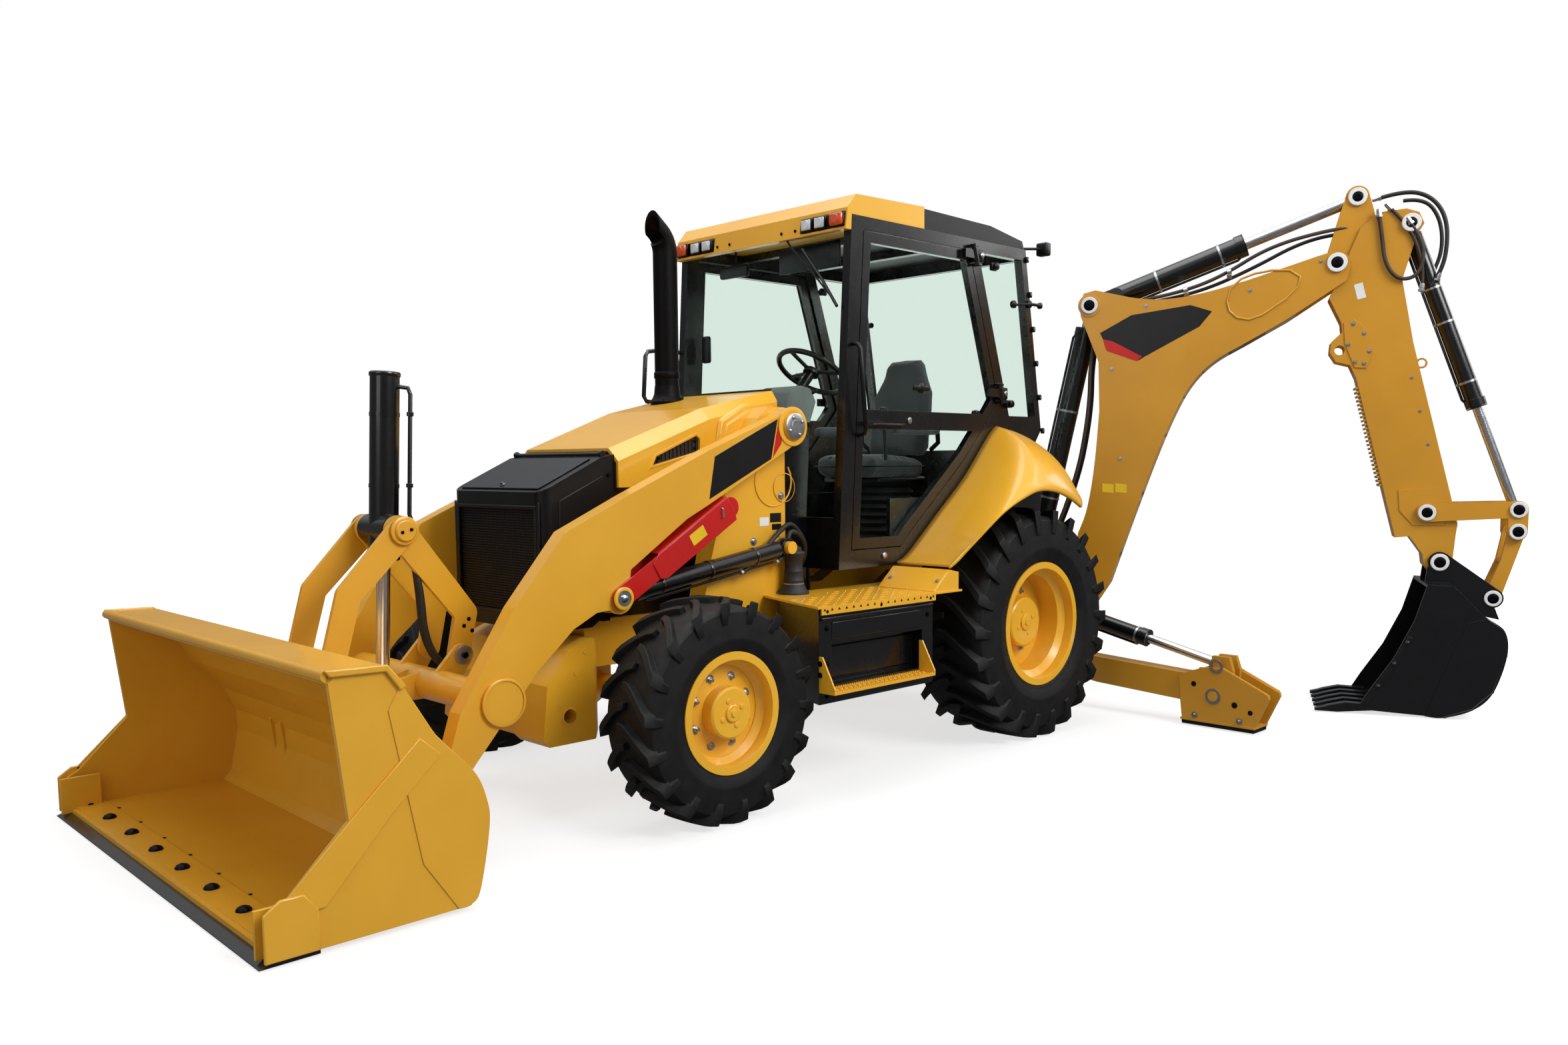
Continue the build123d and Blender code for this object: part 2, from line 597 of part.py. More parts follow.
def rear_fenders():
    """Each fender is ruled between the line beside the cab and the lip over the tyre."""
    sections = [(cab_half + seat_gap, fender_line + fender_back), (fender_out, fender_lip)]
    faces = [Plane.YZ.offset(x) * make_face(Polyline(*ribbon(points, fender_wall), close=True)) for x, points in sections]
    return both(loft(faces, ruled=True))


def side_tanks():
    """Fuel tank on the left and tool box on the right, both under the boarding deck."""
    tank = plan([(1055, -1690), (1055, -905), (640, -905), (640, -1540), (700, -1560)], 425, deck_low - seat_gap)
    tank -= box(990, 1100, -1610, -985, 505, 690)
    tank += box(rail_x + seat_gap, 645, -1250, -1000, 610, 780)
    return both(tank)


def step_plates():
    """Boarding deck with its turned-down edge, the riser to the fender and the hanging lower step."""
    deck = plan([(1075, -1715), (1075, -700), (deck_in, -700), (deck_in, -1540)], deck_low, deck_high)
    deck += box(1068, 1075, -1690, -905, deck_low - 28, deck_high)
    deck += side([(-905, deck_high - 1), (-720, deck_high - 1), (-720, 948), (-785, 962)], 700, 1068)
    step = box(1055 + seat_gap, 1150, -1690, -1000, 480, 492)
    for y in (-1690, -1008):
        step += front([(1055 + seat_gap, 481), (1150, 481), (1150, 505), (1075, 640), (1055 + seat_gap, 640)], y, y + 8)
    return both(Compound([*deck.solids(), *step.solids()]))


# ---- loader ----------------------------------------------------------------------------------------
def loader_arms():
    """Two bent arms joined by the cross tube, with the brackets for the tilt lever and its cylinder."""
    outline = [(-1538, 1700), (-1955, 1543), (-2394, 1357), (-2704, 1217), (-2942, 934), (-3186, 556), (-3236, 400), (-3306, 300),
               (-3345, 236), (-3340, 195), (-3290, 172), (-3235, 195), (-3141, 339), (-2844, 677), (-2673, 825), (-2560, 881),
               (-2482, 886), (-2400, 930), (-2385, 1047), (-2079, 1247), (-1951, 1307), (-1463, 1551), (-1375, 1600),
               (-1350, 1665), (-1375, 1725), (-1436, 1744)]
    arm = side(outline, arm_in, arm_out)
    arm += cross_pin(lift_pin, 68, arm_in, arm_out) + cross_pin(arm_pivot, 88, arm_in, arm_out + 4)
    arm += cross_pin(bucket_hinge, 64, arm_in, arm_out)
    # slot for the lift cylinder's eye, open to the rear and below
    slot = side([(-2560, 830), (-2560, 985), (-2500, 1030), (-2330, 1070), (-2330, 830)], arm_in + 14, arm_out - 14)
    arm -= slot
    arm -= cross_pin(arm_pivot, 40 + pin_play, arm_in - 1, arm_out + 10)
    arm -= cross_pin(bucket_hinge, 32 + pin_play, arm_in - 1, arm_out + 10)
    arm += cross_pin(cross_tube, 90, arm_out - 1, arm_out + 14)
    for x0, x1 in ((arm_in - 16, arm_in + 14), (arm_out - 14, arm_out + 22)):
        arm += cross_pin(lift_pin, 30, x0, x1)
    arms = arm + mirror(arm, about=Plane.YZ)
    arms += cross_pin(cross_tube, cross_tube_radius, -arm_in - 1, arm_in + 1)
    # lever bracket behind the tube and rod bracket in front of it
    lug = link(cross_tube, lever_pivot, 60, 48, lever_out + 4, lever_out + 26)
    lug += cross_pin(lever_pivot, 30, lever_in - 4, lever_out + 30)
    ear = link(cross_tube, tilt_rod_pin, 60, 42, 39, 61) + cross_pin(tilt_rod_pin, 26, 39, 74)
    return arms + lug + mirror(lug, about=Plane.YZ) + ear + mirror(ear, about=Plane.YZ)


def lift_arm_brace():
    """Red safety channel, stowed over the left lift cylinder and pinned beside the arm."""
    end = brace_end
    x0, x1 = arm_in - 15, arm_out + 15
    start = toward(lift_pin, end, 250)
    cheek = link(lift_pin, end, 46, 46, x0, x0 + 8) - cross_pin(lift_pin, 30 + pin_play, x0 - 1, x0 + 9)
    cheeks = cheek + Pos(x1 - x0 - 8, 0, 0) * cheek
    turn = degrees(atan2(end[1] - lift_pin[1], end[0] - lift_pin[0]))
    middle = along(start, end, 0.5)
    web = Pos((x0 + x1) / 2, *middle) * Rot(turn, 0, 0) * Pos(0, 0, 38) * Box(x1 - x0 - 4, dist(start, end), 8)
    return cheeks + web


def dist(a, b):
    return hypot(b[0] - a[0], b[1] - a[1])


def cylinder_pair(base, rod_pin, share, barrel_radius, rod_radius, eye_radius, half_width, rod_half, x=0, bore=26,
                  retract=0, collar=8):
    """Barrel and rod of a cylinder between two (y, z) pins: the rod can still run in by the distance retract."""
    gap = 0.6
    end = along(base, rod_pin, share)
    start = toward(base, rod_pin, eye_radius + 14)
    point = lambda p: (x, p[0], p[1])
    barrel = bar(point(start), point(end), barrel_radius)
    barrel += bar(point(toward(base, rod_pin, eye_radius - 10)), point(start), half_width * 0.94)
    barrel += bar(point(toward(end, base, 46)), point(end), barrel_radius + collar)
    barrel += cross_pin(base, eye_radius, x - half_width, x + half_width)
    inside = toward(base, rod_pin, eye_radius + 30)
    barrel -= bar(point(inside), point(toward(end, base, -10)), rod_radius + gap)
    barrel -= cross_pin(base, bore + pin_play, x - half_width - 1, x + half_width + 1)
    piston = eye_radius + 45 + retract
    rod = bar(point(toward(base, rod_pin, piston)), point(toward(rod_pin, base, eye_radius - 6)), rod_radius)
    rod += cross_pin(rod_pin, eye_radius, x - rod_half, x + rod_half)
    rod -= cross_pin(rod_pin, bore, x - rod_half - 1, x + rod_half + 1)
    return barrel, rod


def lift_cylinders():
    barrel, rod = cylinder_pair(lift_base, lift_pin, lift_share, 40, 23, 44, 24, 24, x=(arm_in + arm_out) / 2, bore=30,
                                collar=2)
    return {"lift_cylinder_barrels": both(barrel), "lift_cylinder_rods": both(rod)}


def tilt_linkage():
    """Bent lever plates on the cross tube, curved links to the bucket and the cylinder between them."""
    elbow = (-2872, 868)
    plate = link(lever_pivot, elbow, 48, 50, lever_in, lever_out) + link(elbow, lever_top, 50, 60, lever_in, lever_out)
    plate -= cross_pin(lever_pivot, 30 + pin_play, 0, 200) + cross_pin(lever_top, 30 + pin_play, 0, lever_in + 12)
    plate += cross_pin(lever_top, 30, lever_out - 1, link_out + 8)
    lever = both(plate)
    bow = (-3385, 985)
    strap = link(lever_top, bow, 58, 50, link_in, link_out) + link(bow, bucket_upper, 50, 48, link_in, link_out)
    strap -= cross_pin(lever_top, 30 + pin_play, 0, 400) + cross_pin(bucket_upper, 26, 0, 400)
    top = toward(lever_top, tilt_rod_pin, -640)
    low = toward(lever_top, tilt_rod_pin, 120)
    point = lambda p: (0, p[0], p[1])
    barrel = bar(point(low), point(top), 58)
    barrel += cross_pin(lever_top, 62, -lever_in + running_gap, lever_in - running_gap)
    for sign in (-1, 1):
        x0, x1 = sorted((sign * (lever_in - running_gap - 1), sign * (lever_in + 11)))
        barrel += cross_pin(lever_top, 30, x0, x1)
    barrel -= bar(point(toward(lever_top, tilt_rod_pin, -560)), point(toward(low, tilt_rod_pin, 10)), 28.6)
    rod = bar(point(toward(lever_top, tilt_rod_pin, -90)), point(toward(tilt_rod_pin, lever_top, 36)), 28)
    rod += cross_pin(tilt_rod_pin, 38, -38, 38) - cross_pin(tilt_rod_pin, 26, -40, 40)
    return {"tilt_lever": lever, "bucket_links": both(strap), "tilt_cylinder_barrel": barrel, "tilt_cylinder_rod": rod}


def loader_bucket():
    """General-purpose bucket: a rolled shell, side plates with cutters, and hinge ears on its back."""
    rim_line = [(-3942, 18), (-3434, 18), (-3398, 68), (-3359, 270), (-3365, 366), (-3412, 475), (-3545, 621),
                (-3653, 802), (-3701, 862), (-3890, 867), (-3838, 392), (-4038, 189), (-4080, 165), (-4080, 18)]
    inside = [(-4200, 18 + bucket_plate), (-3450, 18 + bucket_plate), (-3415, 75), (-3377, 270), (-3383, 360),
              (-3427, 464), (-3560, 610), (-3668, 792), (-3712, 846), (-3860, 850), (-4200, 500)]
    solid = side(rim_line, -bucket_half, bucket_half)
    shell = solid - side(inside, -bucket_half + 20, bucket_half - 20)
    shell += side([(-3700, 862), (-3890, 867), (-3893, 832), (-3872, 826), (-3862, 846), (-3700, 846)],
                  -bucket_half, bucket_half)
    shell += box(-bucket_half, bucket_half, -4062, -3942, 22, 40)
    for x0, x1 in ((arm_in - 26, arm_in - running_gap), (arm_out + running_gap, arm_out + 26)):
        ear = side([(-3370, 150), (-3290, 170), (-3228, 222), (-3240, 290), (-3300, 330), (-3380, 420), (-3400, 380)],
                   x0, x1)
        shell += ear + mirror(ear, about=Plane.YZ)
    pin = cross_pin(bucket_hinge, 32, arm_in - 27, arm_out + 34)
    shell += pin + mirror(pin, about=Plane.YZ)
    for x0, x1 in ((link_in - 24, link_in - 3), (link_out + 3, link_out + 24)):
        ear = side([(-3440, 510), (-3436, 640), (-3450, 690), (-3490, 700), (-3560, 690), (-3660, 800), (-3540, 630)],
                   x0, x1)
        stub = cross_pin(bucket_upper, 26, x0, x1)
        shell += ear + stub + mirror(ear + stub, about=Plane.YZ)
    return shell


def cutting_edge():
    """Bolt-on edge under the bucket's lip."""
    return side([(-4126, 5), (-3942, 5), (-3942, 18 - seat_gap), (-4090, 18 - seat_gap)], -bucket_half, bucket_half)


# ---- backhoe, built pointing straight back and swung as it is written ------------------------------
def swing_frame():
    """Casting on the two swing pins: cheeks reach out to the boom's foot and hold the boom cylinder."""
    low, high = swing_shelves[0][1] + running_gap, swing_shelves[1][0] - running_gap
    hub = Pos(0, 0, (low + high) / 2) * Cylinder(105, high - low)
    pins = Pos(0, 0, (low + high) / 2) * Cylinder(swing_pin_radius, high - low + 90)
    block = box(-casting_in - 1, casting_in + 1, -60, 105, low, high)
    cheek = side([(-60, low), (-60, high), (190, 800), (330, 770), (545, 668), (578, 600), (545, 532), (300, low)],
                 casting_in, casting_out, 12)
    cheek += cross_pin(boom_foot, 34, boom_half - boom_plate - 6, casting_out + 6)
    cheek += cross_pin(boom_base_pin, 58, 50, casting_in + 1)
    casting = hub + pins + block + cheek + mirror(cheek, about=Plane.YZ)
    return casting + cross_pin(boom_base_pin, 30, -52, 52)


def boom():
    """Bent box boom: side plates joined by flanges, open at the back for its cylinder and forked at the nose."""
    outline = [(495, 2470), (520, 2535), (590, 2552), (925, 2465), (1209, 2490), (1504, 2567), (1871, 2679),
               (1955, 2702), (2030, 2678), (2050, 2610), (2030, 2530), (1718, 2322), (1471, 2183), (1303, 2093),
               (1176, 1964), (1081, 1786), (965, 1492), (814, 1051), (700, 705), (600, 545), (510, 530), (445, 590),
               (503, 1029), (559, 1171), (602, 1454), (625, 1804), (616, 2107), (504, 2391)]
    shape = side(outline, -boom_half, boom_half)
    gap = boom_half - boom_plate
    cavity = [(612, 1290), (640, 1804), (634, 2050), (695, 2320), (780, 2378), (1000, 2438), (1209, 2474),
              (1500, 2551), (1745, 2625), (1745, 2357), (1462, 2197), (1292, 2107), (1163, 1976), (1067, 1793),
              (951, 1497), (876, 1290)]
    cylinder_slot = [(300, 400), (300, 1262), (852, 1262), (800, 1056), (688, 712), (640, 400)]
    top_slot = [(300, 2112), (616, 2112), (676, 2335), (770, 2392), (1000, 2452), (1040, 2700), (300, 2700)]
    nose_slot = [(1762, 2200), (1762, 2800), (2200, 2800), (2200, 2200)]
    for hollow in (cavity, cylinder_slot, top_slot, nose_slot):
        shape -= side(hollow, -gap, gap)
    # relief in the top flange for the stick's head when the stick is out
    relief = inner_half + 8 + running_gap
    shape -= side([(1560, 2570), (1560, 2760), (1780, 2760), (1780, 2540)], -relief, relief)
    for pin, radius in ((boom_foot, 34), (stick_pivot, 34)):
        shape -= cross_pin(pin, radius + pin_play, -boom_half - 1, boom_half + 1)
    stub = cross_pin(boom_knuckle, 34, 36, boom_half + 8) + cross_pin(boom_knuckle, 70, boom_half - 1, boom_half + 4)
    return shape + stub + mirror(stub, about=Plane.YZ)


def boom_cylinder():
    return cylinder_pair(boom_base_pin, boom_knuckle, 0.92, 62, 34, 54, 44, 30, bore=30)


def stick_cylinder():
    """The barrel's base is a fork round the boom cylinder's eye, on the same pin."""
    end = along(boom_knuckle, stick_rod, stick_cylinder_share)
    start = toward(boom_knuckle, stick_rod, 150)
    point = lambda p: (0, p[0], p[1])
    barrel = bar(point(start), point(end), 62) + bar(point(toward(end, start, 44)), point(end), 69)
    fork = link(boom_knuckle, toward(boom_knuckle, stick_rod, 165), 56, 50, 40, 64)
    barrel += fork + mirror(fork, about=Plane.YZ)
    barrel -= cross_pin(boom_knuckle, 34 + pin_play, -70, 70)
    barrel -= bar(point(toward(boom_knuckle, stick_rod, 190)), point(toward(end, start, -10)), 32.6)
    piston = toward(boom_knuckle, stick_rod, 200 + stick_retract)
    rod = bar(point(piston), point(toward(stick_rod, boom_knuckle, 46)), 32)
    rod += cross_pin(stick_rod, 52, -34, 34) - cross_pin(stick_rod, 30, -36, 36)
    return barrel, rod


def stick_side(points, x0, x1, radius=0):
    """A plate whose outline is given along and across the stick."""
    return side([on_stick(*p) for p in points], x0, x1, radius)


def inner_stick():
    """Inner section of the telescoping stick: a hollow beam with a two-plate head."""
    half = inner_half
    beam = stick_side([(-20, inner_low), (-20, inner_high), (inner_end, inner_high), (inner_end, inner_low)],
                      -half, half)
    beam -= stick_side([(20, inner_low + 12), (20, inner_high - 12), (inner_end + 1, inner_high - 12),
                        (inner_end + 1, inner_low + 12)], -half + 10, half - 10)
    rounds = [(stick_pivot, 66), (stick_rod, 64), (on_stick(70, inner_high - 60), 50)]
    edges = [edge for at, radius in rounds for edge in (Pos(*at) * Circle(radius)).edges()]
    plate = extrude(Plane.YZ.offset(40) * make_hull(edges), half - 40)
    plate += cross_pin(stick_pivot, 48, 39, boom_half - boom_plate - 2)
    plate += cross_pin(stick_rod, 30, 38, half + 8)
    head = plate + mirror(plate, about=Plane.YZ)
    return beam + head + cross_pin(stick_pivot, 34, -boom_half - 8, boom_half + 8)


def outer_stick():
    """Outer section: side plates and flanges that slide on the inner one, ending in the bucket nose."""
    low, high = inner_low - running_gap, inner_high + running_gap
    wall = inner_half + 5
    outline = [(-157, 165), (-215, 279), (-190, 420), (-150, 478), (-80, 490), (-30, 440), (196, 312),
               (568, high + 8), (1650, high + 8), (1700, 270), (1800, 236), (1905, 200), (1925, 149), (1905, 100),
               (1842, 68), (1780, 75), (1660, 30), (1650, low - 8), (684, low - 8), (600, -60), (560, -130),
               (499, -150), (440, -130), (400, -60), (344, -52), (187, -84)]
    body = stick_side(outline, -wall - outer_wall, wall + outer_wall)
    body -= stick_side([(-300, low), (-300, high), (1652, high), (1652, low)], -wall, wall)
    body -= stick_side([(-300, high - 1), (-300, 600), (300, 600), (300, high - 1)], -wall, wall)
    body -= stick_side([(-300, low + 1), (-300, -200), (640, -200), (640, low + 1)], -wall, wall)
    body -= cross_pin(stick_pivot, 56, -120, 120)
    body -= cross_pin(on_stick(*thumb_pin), thumb_radius, -120, 120)
    boss = cross_pin(on_stick(*bucket_cylinder_pin), 56, 46, wall + 1)
    body += boss + mirror(boss, about=Plane.YZ)
    body += cross_pin(on_stick(*bucket_cylinder_pin), 30, -100, 100)
    body += cross_pin(on_stick(*lever_pin), 32, -ear_out - 6, ear_out + 6)
    boss = cross_pin(on_stick(*lever_pin), 60, wall + outer_wall - 1, ear_in - 2)
    body += boss + mirror(boss, about=Plane.YZ)
    return body - cross_pin(on_stick(*hoe_pivot), 32 + pin_play, -120, 120)


def bucket_cylinder():
    return cylinder_pair(on_stick(*bucket_cylinder_pin), on_stick(*lever_cylinder_pin), 0.64, 48, 26, 42, 40, 28,
                         bore=30, retract=bucket_retract)


def bucket_linkage():
    """Lever plates outside the stick, and the forked link between them that moves the bucket."""
    pivot, cylinder, pin = on_stick(*lever_pin), on_stick(*lever_cylinder_pin), on_stick(*lever_link_pin)
    plate = link(pivot, cylinder, 55, 46, ear_in, ear_out) + link(cylinder, pin, 50, 50, ear_in, ear_out)
    plate -= cross_pin(pivot, 32 + pin_play, 0, 200)
    plate += cross_pin(cylinder, 30, 34, ear_out + 6) + cross_pin(pin, 30, 56, ear_out + 6)
    end = on_stick(*hoe_link_pin)
    middle = along(pin, end, 0.5)
    middle = (middle[0] + link_bow, middle[1] + link_bow)
    strap = link(pin, middle, 44, 34, 58, 86) + link(middle, end, 34, 42, 58, 86)
    strap -= cross_pin(pin, 30 + pin_play, 0, 100) + cross_pin(end, 28, 0, 100)
    web = cross_pin(middle, 30, -60, 60)
    return both(plate), strap + mirror(strap, about=Plane.YZ) + web


def hoe_bucket():
    """Trenching bucket: wrapped shell, side plates, ears with pins, and a row of teeth."""
    outline = [(2142, 30), (2595, 8), (2740, 60), (2840, 165), (2902, 380), (2885, 520), (2795, 585), (2625, 765),
               (2490, 770), (2430, 560), (2330, 340), (2210, 150)]
    inside = [(2000, 48), (2180, 46), (2590, 24), (2730, 74), (2826, 172), (2886, 382), (2871, 510), (2787, 571),
              (2618, 749), (2495, 754), (2300, 780), (1900, 200)]
    solid = side(outline, -hoe_half, hoe_half)
    shell = solid - side(inside, -hoe_half + 16, hoe_half - 16)
    pivot, end = on_stick(*hoe_pivot), on_stick(*hoe_link_pin)
    ear = link(pivot, end, 60, 56, ear_in, ear_out)
    ear += side([(2510, 860), (2860, 640), (2890, 560), (2795, 580), (2620, 755), (2500, 765)], ear_in, ear_out)
    ear += cross_pin(end, 30, 88, ear_out + 8)
    shell += ear + mirror(ear, about=Plane.YZ) + cross_pin(pivot, 32, -ear_out - 8, ear_out + 8)
    spacing = (2 * hoe_half - 60) / (hoe_teeth - 1)
    for i in range(hoe_teeth):
        x = -hoe_half + 30 + i * spacing
        shell += side([(1918, 8), (2040, 6), (2230, 26), (2230, 60), (2080, 66), (1918, 20)], x - 26, x + 26)
    return shell


# ---- stabilisers -----------------------------------------------------------------------------------
def stabiliser():
    """Leg with its turned pad, and the cylinder from the rear frame down to the leg's end."""
    low, high = stab_y - stab_depth / 2, stab_y + stab_depth / 2
    hinge, rod_pin, pad_pin = stab_hinge, stab_rod_pin, stab_pad_pin
    leg = front([(hinge[0] - 50, 240), (hinge[0] - 40, 330), (hinge[0] + 40, 345), (1440, 292), (1598, 300),
                 (1622, 405), (1720, 405), (1745, 330), (1740, 160), (1600, 130), (1440, 136), (900, 168)], low, high)
    leg -= front([(1460, 300), (1460, 460), (1800, 460), (1800, 260), (1600, 260)], low + 27, high - 27)
    leg -= fore_pin(hinge, 26 + pin_play, low - 1, high + 1)
    for y0, y1 in ((low - 26, low - 2), (high + 2, high + 26)):
        cheek = front([(1440, 284), (1462, 42), (1885, 42), (1960, 205), (1955, 225), (1700, 340), (1560, 330)], y0, y1)
        leg += cheek
    leg += fore_pin(pad_pin, 28, low - 34, high + 34)
    leg += front([(1455, 42), (1885, 42), (1885, 30), (1455, 30)], low - 30, high + 30)
    leg += front([(1462, 30.5), (1880, 30.5), (1880, pad_low), (1462, pad_low)], low - 22, high + 22)
    for y0, y1 in ((low, low + 26.5), (high - 26.5, high)):
        leg += fore_pin(rod_pin, 24, y0, y1)
    base, end = stab_base_pin, along(stab_base_pin, rod_pin, stabiliser_share)
    lift = lambda p: (p[0], stab_y, p[1])
    barrel = bar(lift(toward(base, rod_pin, 36)), lift(end), 45) + bar(lift(toward(end, base, 40)), lift(end), 51)
    barrel += fore_pin(base, 44, low, high)
    barrel -= fore_pin(base, 26 + pin_play, low - 1, high + 1)
    barrel -= bar(lift(toward(base, rod_pin, 80)), lift(toward(end, base, -10)), 26.6)
    piston = toward(base, rod_pin, 90 + stabiliser_retract)
    rod = bar(lift(piston), lift(toward(rod_pin, base, 34)), 26)
    rod += fore_pin(rod_pin, 40, low + 29, high - 29) - fore_pin(rod_pin, 24, low, high)
    return leg, barrel, rod


# ---- the machine -----------------------------------------------------------------------------------
def pieces():
    made = {"main_frame": main_frame(), "counterweight": counterweight(), "engine_block": engine_block(),
            "grille_shell": grille_shell(), "hood": hood(), "exhaust_stack": exhaust_stack(),
            "cab_frame": cab_frame(), "cab_glass": cab_glass(), "cab_visor": cab_visor(), "cab_roof": cab_roof(),
            "operator_seat": operator_seat(), "steering_console": steering_console(),
            "rear_fenders": rear_fenders(), "side_tanks": side_tanks(), "step_plates": step_plates(),
            "loader_arms": loader_arms(), "lift_arm_brace": lift_arm_brace(), "loader_bucket": loader_bucket(),
            "cutting_edge": cutting_edge()}
    for group in (wheels(), axles(), doors(), lift_cylinders(), tilt_linkage()):
        made.update(group)
    lever, strap = bucket_linkage()
    boom_barrel, boom_rod = boom_cylinder()
    stick_barrel, stick_cylinder_rod = stick_cylinder()
    hoe_barrel, hoe_rod = bucket_cylinder()
    swung = {"swing_frame": swing_frame(), "boom": boom(), "boom_cylinder_barrel": boom_barrel,
             "boom_cylinder_rod": boom_rod, "inner_stick": inner_stick(),
             "outer_stick": outer_stick(), "stick_cylinder_barrel": stick_barrel,
             "stick_cylinder_rod": stick_cylinder_rod, "bucket_cylinder_barrel": hoe_barrel,
             "bucket_cylinder_rod": hoe_rod, "bucket_lever": lever, "bucket_link": strap, "hoe_bucket": hoe_bucket()}
    for name, shape in swung.items():
        made[name] = backhoe * shape
    for name, shape in zip(("leg", "barrel", "rod"), stabiliser()):
        made[f"stabiliser_{name}_left"] = shape
        made[f"stabiliser_{name}_right"] = mirror(shape, about=Plane.YZ)
    return made


os.makedirs("parts", exist_ok=True)
for name, shape in pieces().items():
    export_step(Pos(*row_origin) * shape, f"parts/{name}.step")
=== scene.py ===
import bpy
import bmesh
import math
from mathutils import Matrix, Vector


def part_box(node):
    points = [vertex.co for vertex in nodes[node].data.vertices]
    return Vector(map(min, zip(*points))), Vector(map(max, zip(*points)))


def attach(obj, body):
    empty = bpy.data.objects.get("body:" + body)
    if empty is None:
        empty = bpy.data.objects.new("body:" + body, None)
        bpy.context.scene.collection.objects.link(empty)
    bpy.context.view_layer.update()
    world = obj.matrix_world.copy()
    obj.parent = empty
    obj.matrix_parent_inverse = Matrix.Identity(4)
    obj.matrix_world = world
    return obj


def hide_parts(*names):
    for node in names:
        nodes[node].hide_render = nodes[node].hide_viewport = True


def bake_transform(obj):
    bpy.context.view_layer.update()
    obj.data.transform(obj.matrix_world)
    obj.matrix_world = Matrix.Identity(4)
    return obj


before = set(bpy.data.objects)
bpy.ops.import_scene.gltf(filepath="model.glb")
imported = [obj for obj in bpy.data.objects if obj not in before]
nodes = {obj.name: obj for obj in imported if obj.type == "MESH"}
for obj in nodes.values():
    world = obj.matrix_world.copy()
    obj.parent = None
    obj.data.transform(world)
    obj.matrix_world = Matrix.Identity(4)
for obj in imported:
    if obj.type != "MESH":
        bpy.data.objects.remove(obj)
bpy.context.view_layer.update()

# the machine's own origin is on the ground under the rear axle; lengths below are in mm from there
rearLeft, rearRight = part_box("tyre_rear_left"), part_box("tyre_rear_right")
axleSpot = Vector(((rearLeft[0][0] + rearRight[1][0]) / 2, (rearLeft[0][1] + rearLeft[1][1]) / 2, 0))
machine = Matrix.Translation(axleSpot) @ Matrix.Scale(0.001, 4)
swing = {"axis": 1130, "turned": 65}   # mm behind the axle, degrees to the left
backhoe = machine @ Matrix.Translation((0, swing["axis"], 0)) @ Matrix.Rotation(-math.radians(swing["turned"]), 4,
    "Z")
mirrored = Matrix.Scale(-1, 4, (1, 0, 0))

lookout = {"at": (4683, -5378, 1484), "yaw": 45.11, "down": 5.02, "roll": -0.41, "lens": 27.43,   # camera
    "shift": (-0.0142, 0.0293)}
lens = bpy.data.cameras.new("lookout")
camera = bpy.data.objects.new("lookout", lens)
bpy.context.scene.collection.objects.link(camera)
lens.sensor_fit = "HORIZONTAL"
lens.sensor_width = 36
lens.lens = lookout["lens"]
lens.shift_x, lens.shift_y = lookout["shift"]
lens.clip_end = 100
camera.matrix_world = (Matrix.Translation(machine @ Vector(lookout["at"]))
    @ Matrix.Rotation(math.radians(lookout["yaw"]), 4, "Z") @ Matrix.Rotation(math.radians(90 - lookout["down"]), 4,
    "X") @ Matrix.Rotation(math.radians(lookout["roll"]), 4, "Z"))
bpy.context.scene.camera = camera
bpy.context.scene.view_settings.view_transform = "Standard"
print("camera set")


# ways of working
def toLinear(code):
    parts = [int(code[i:i + 2], 16) / 255 for i in (1, 3, 5)]
    return [c / 12.92 if c <= 0.04045 else ((c + 0.055) / 1.055) ** 2.4 for c in parts] + [1]


def addNode(tree, kind, settings=None, links=None, **fields):
    node = tree.nodes.new(kind)
    for name, value in fields.items():
        setattr(node, name, value)
    for name, value in (settings or {}).items():
        node.inputs[name].default_value = value
    for name, source in (links or {}).items():
        tree.links.new(source, node.inputs[name])
    return node


def startMaterial(name, colour, roughness, metallic=0, **more):
    material = bpy.data.materials.new(name)
    material.use_nodes = True
    tree = material.node_tree
    tree.nodes.clear()
    shader = addNode(tree, "ShaderNodeBsdfPrincipled", {"Base Color": toLinear(colour), "Roughness": roughness,
        "Metallic": metallic})
    for socket, value in more.items():
        shader.inputs[socket.replace("_", " ")].default_value = value
    addNode(tree, "ShaderNodeOutputMaterial", links={"Surface": shader.outputs["BSDF"]})
    coords = addNode(tree, "ShaderNodeTexCoord")
    return material, tree, shader, coords.outputs["Object"]


def addBump(tree, shader, height, distance, strength=1):
    # a 3 mm radius on every pressed and cut edge catches the light
    rounded = addNode(tree, "ShaderNodeBevel", {"Radius": 0.003}, samples=4)
    bump = addNode(tree, "ShaderNodeBump", {"Distance": distance, "Strength": strength},
        {"Height": height, "Normal": rounded.outputs["Normal"]})
    tree.links.new(bump.outputs["Normal"], shader.inputs["Normal"])


mottle = {"from": 0.35, "to": 0.68}   # share of the noise where the colour starts and ends its drift


def addMottle(tree, shader, coords, first, second, scale, detail=4):
    noise = addNode(tree, "ShaderNodeTexNoise", {"Scale": scale, "Detail": detail}, {"Vector": coords})
    ramp = addNode(tree, "ShaderNodeValToRGB", links={"Fac": noise.outputs["Fac"]})
    ramp.color_ramp.elements[0].position = mottle["from"]
    ramp.color_ramp.elements[1].position = mottle["to"]
    ramp.color_ramp.elements[0].color = toLinear(first)
    ramp.color_ramp.elements[1].color = toLinear(second)
    tree.links.new(ramp.outputs["Color"], shader.inputs["Base Color"])


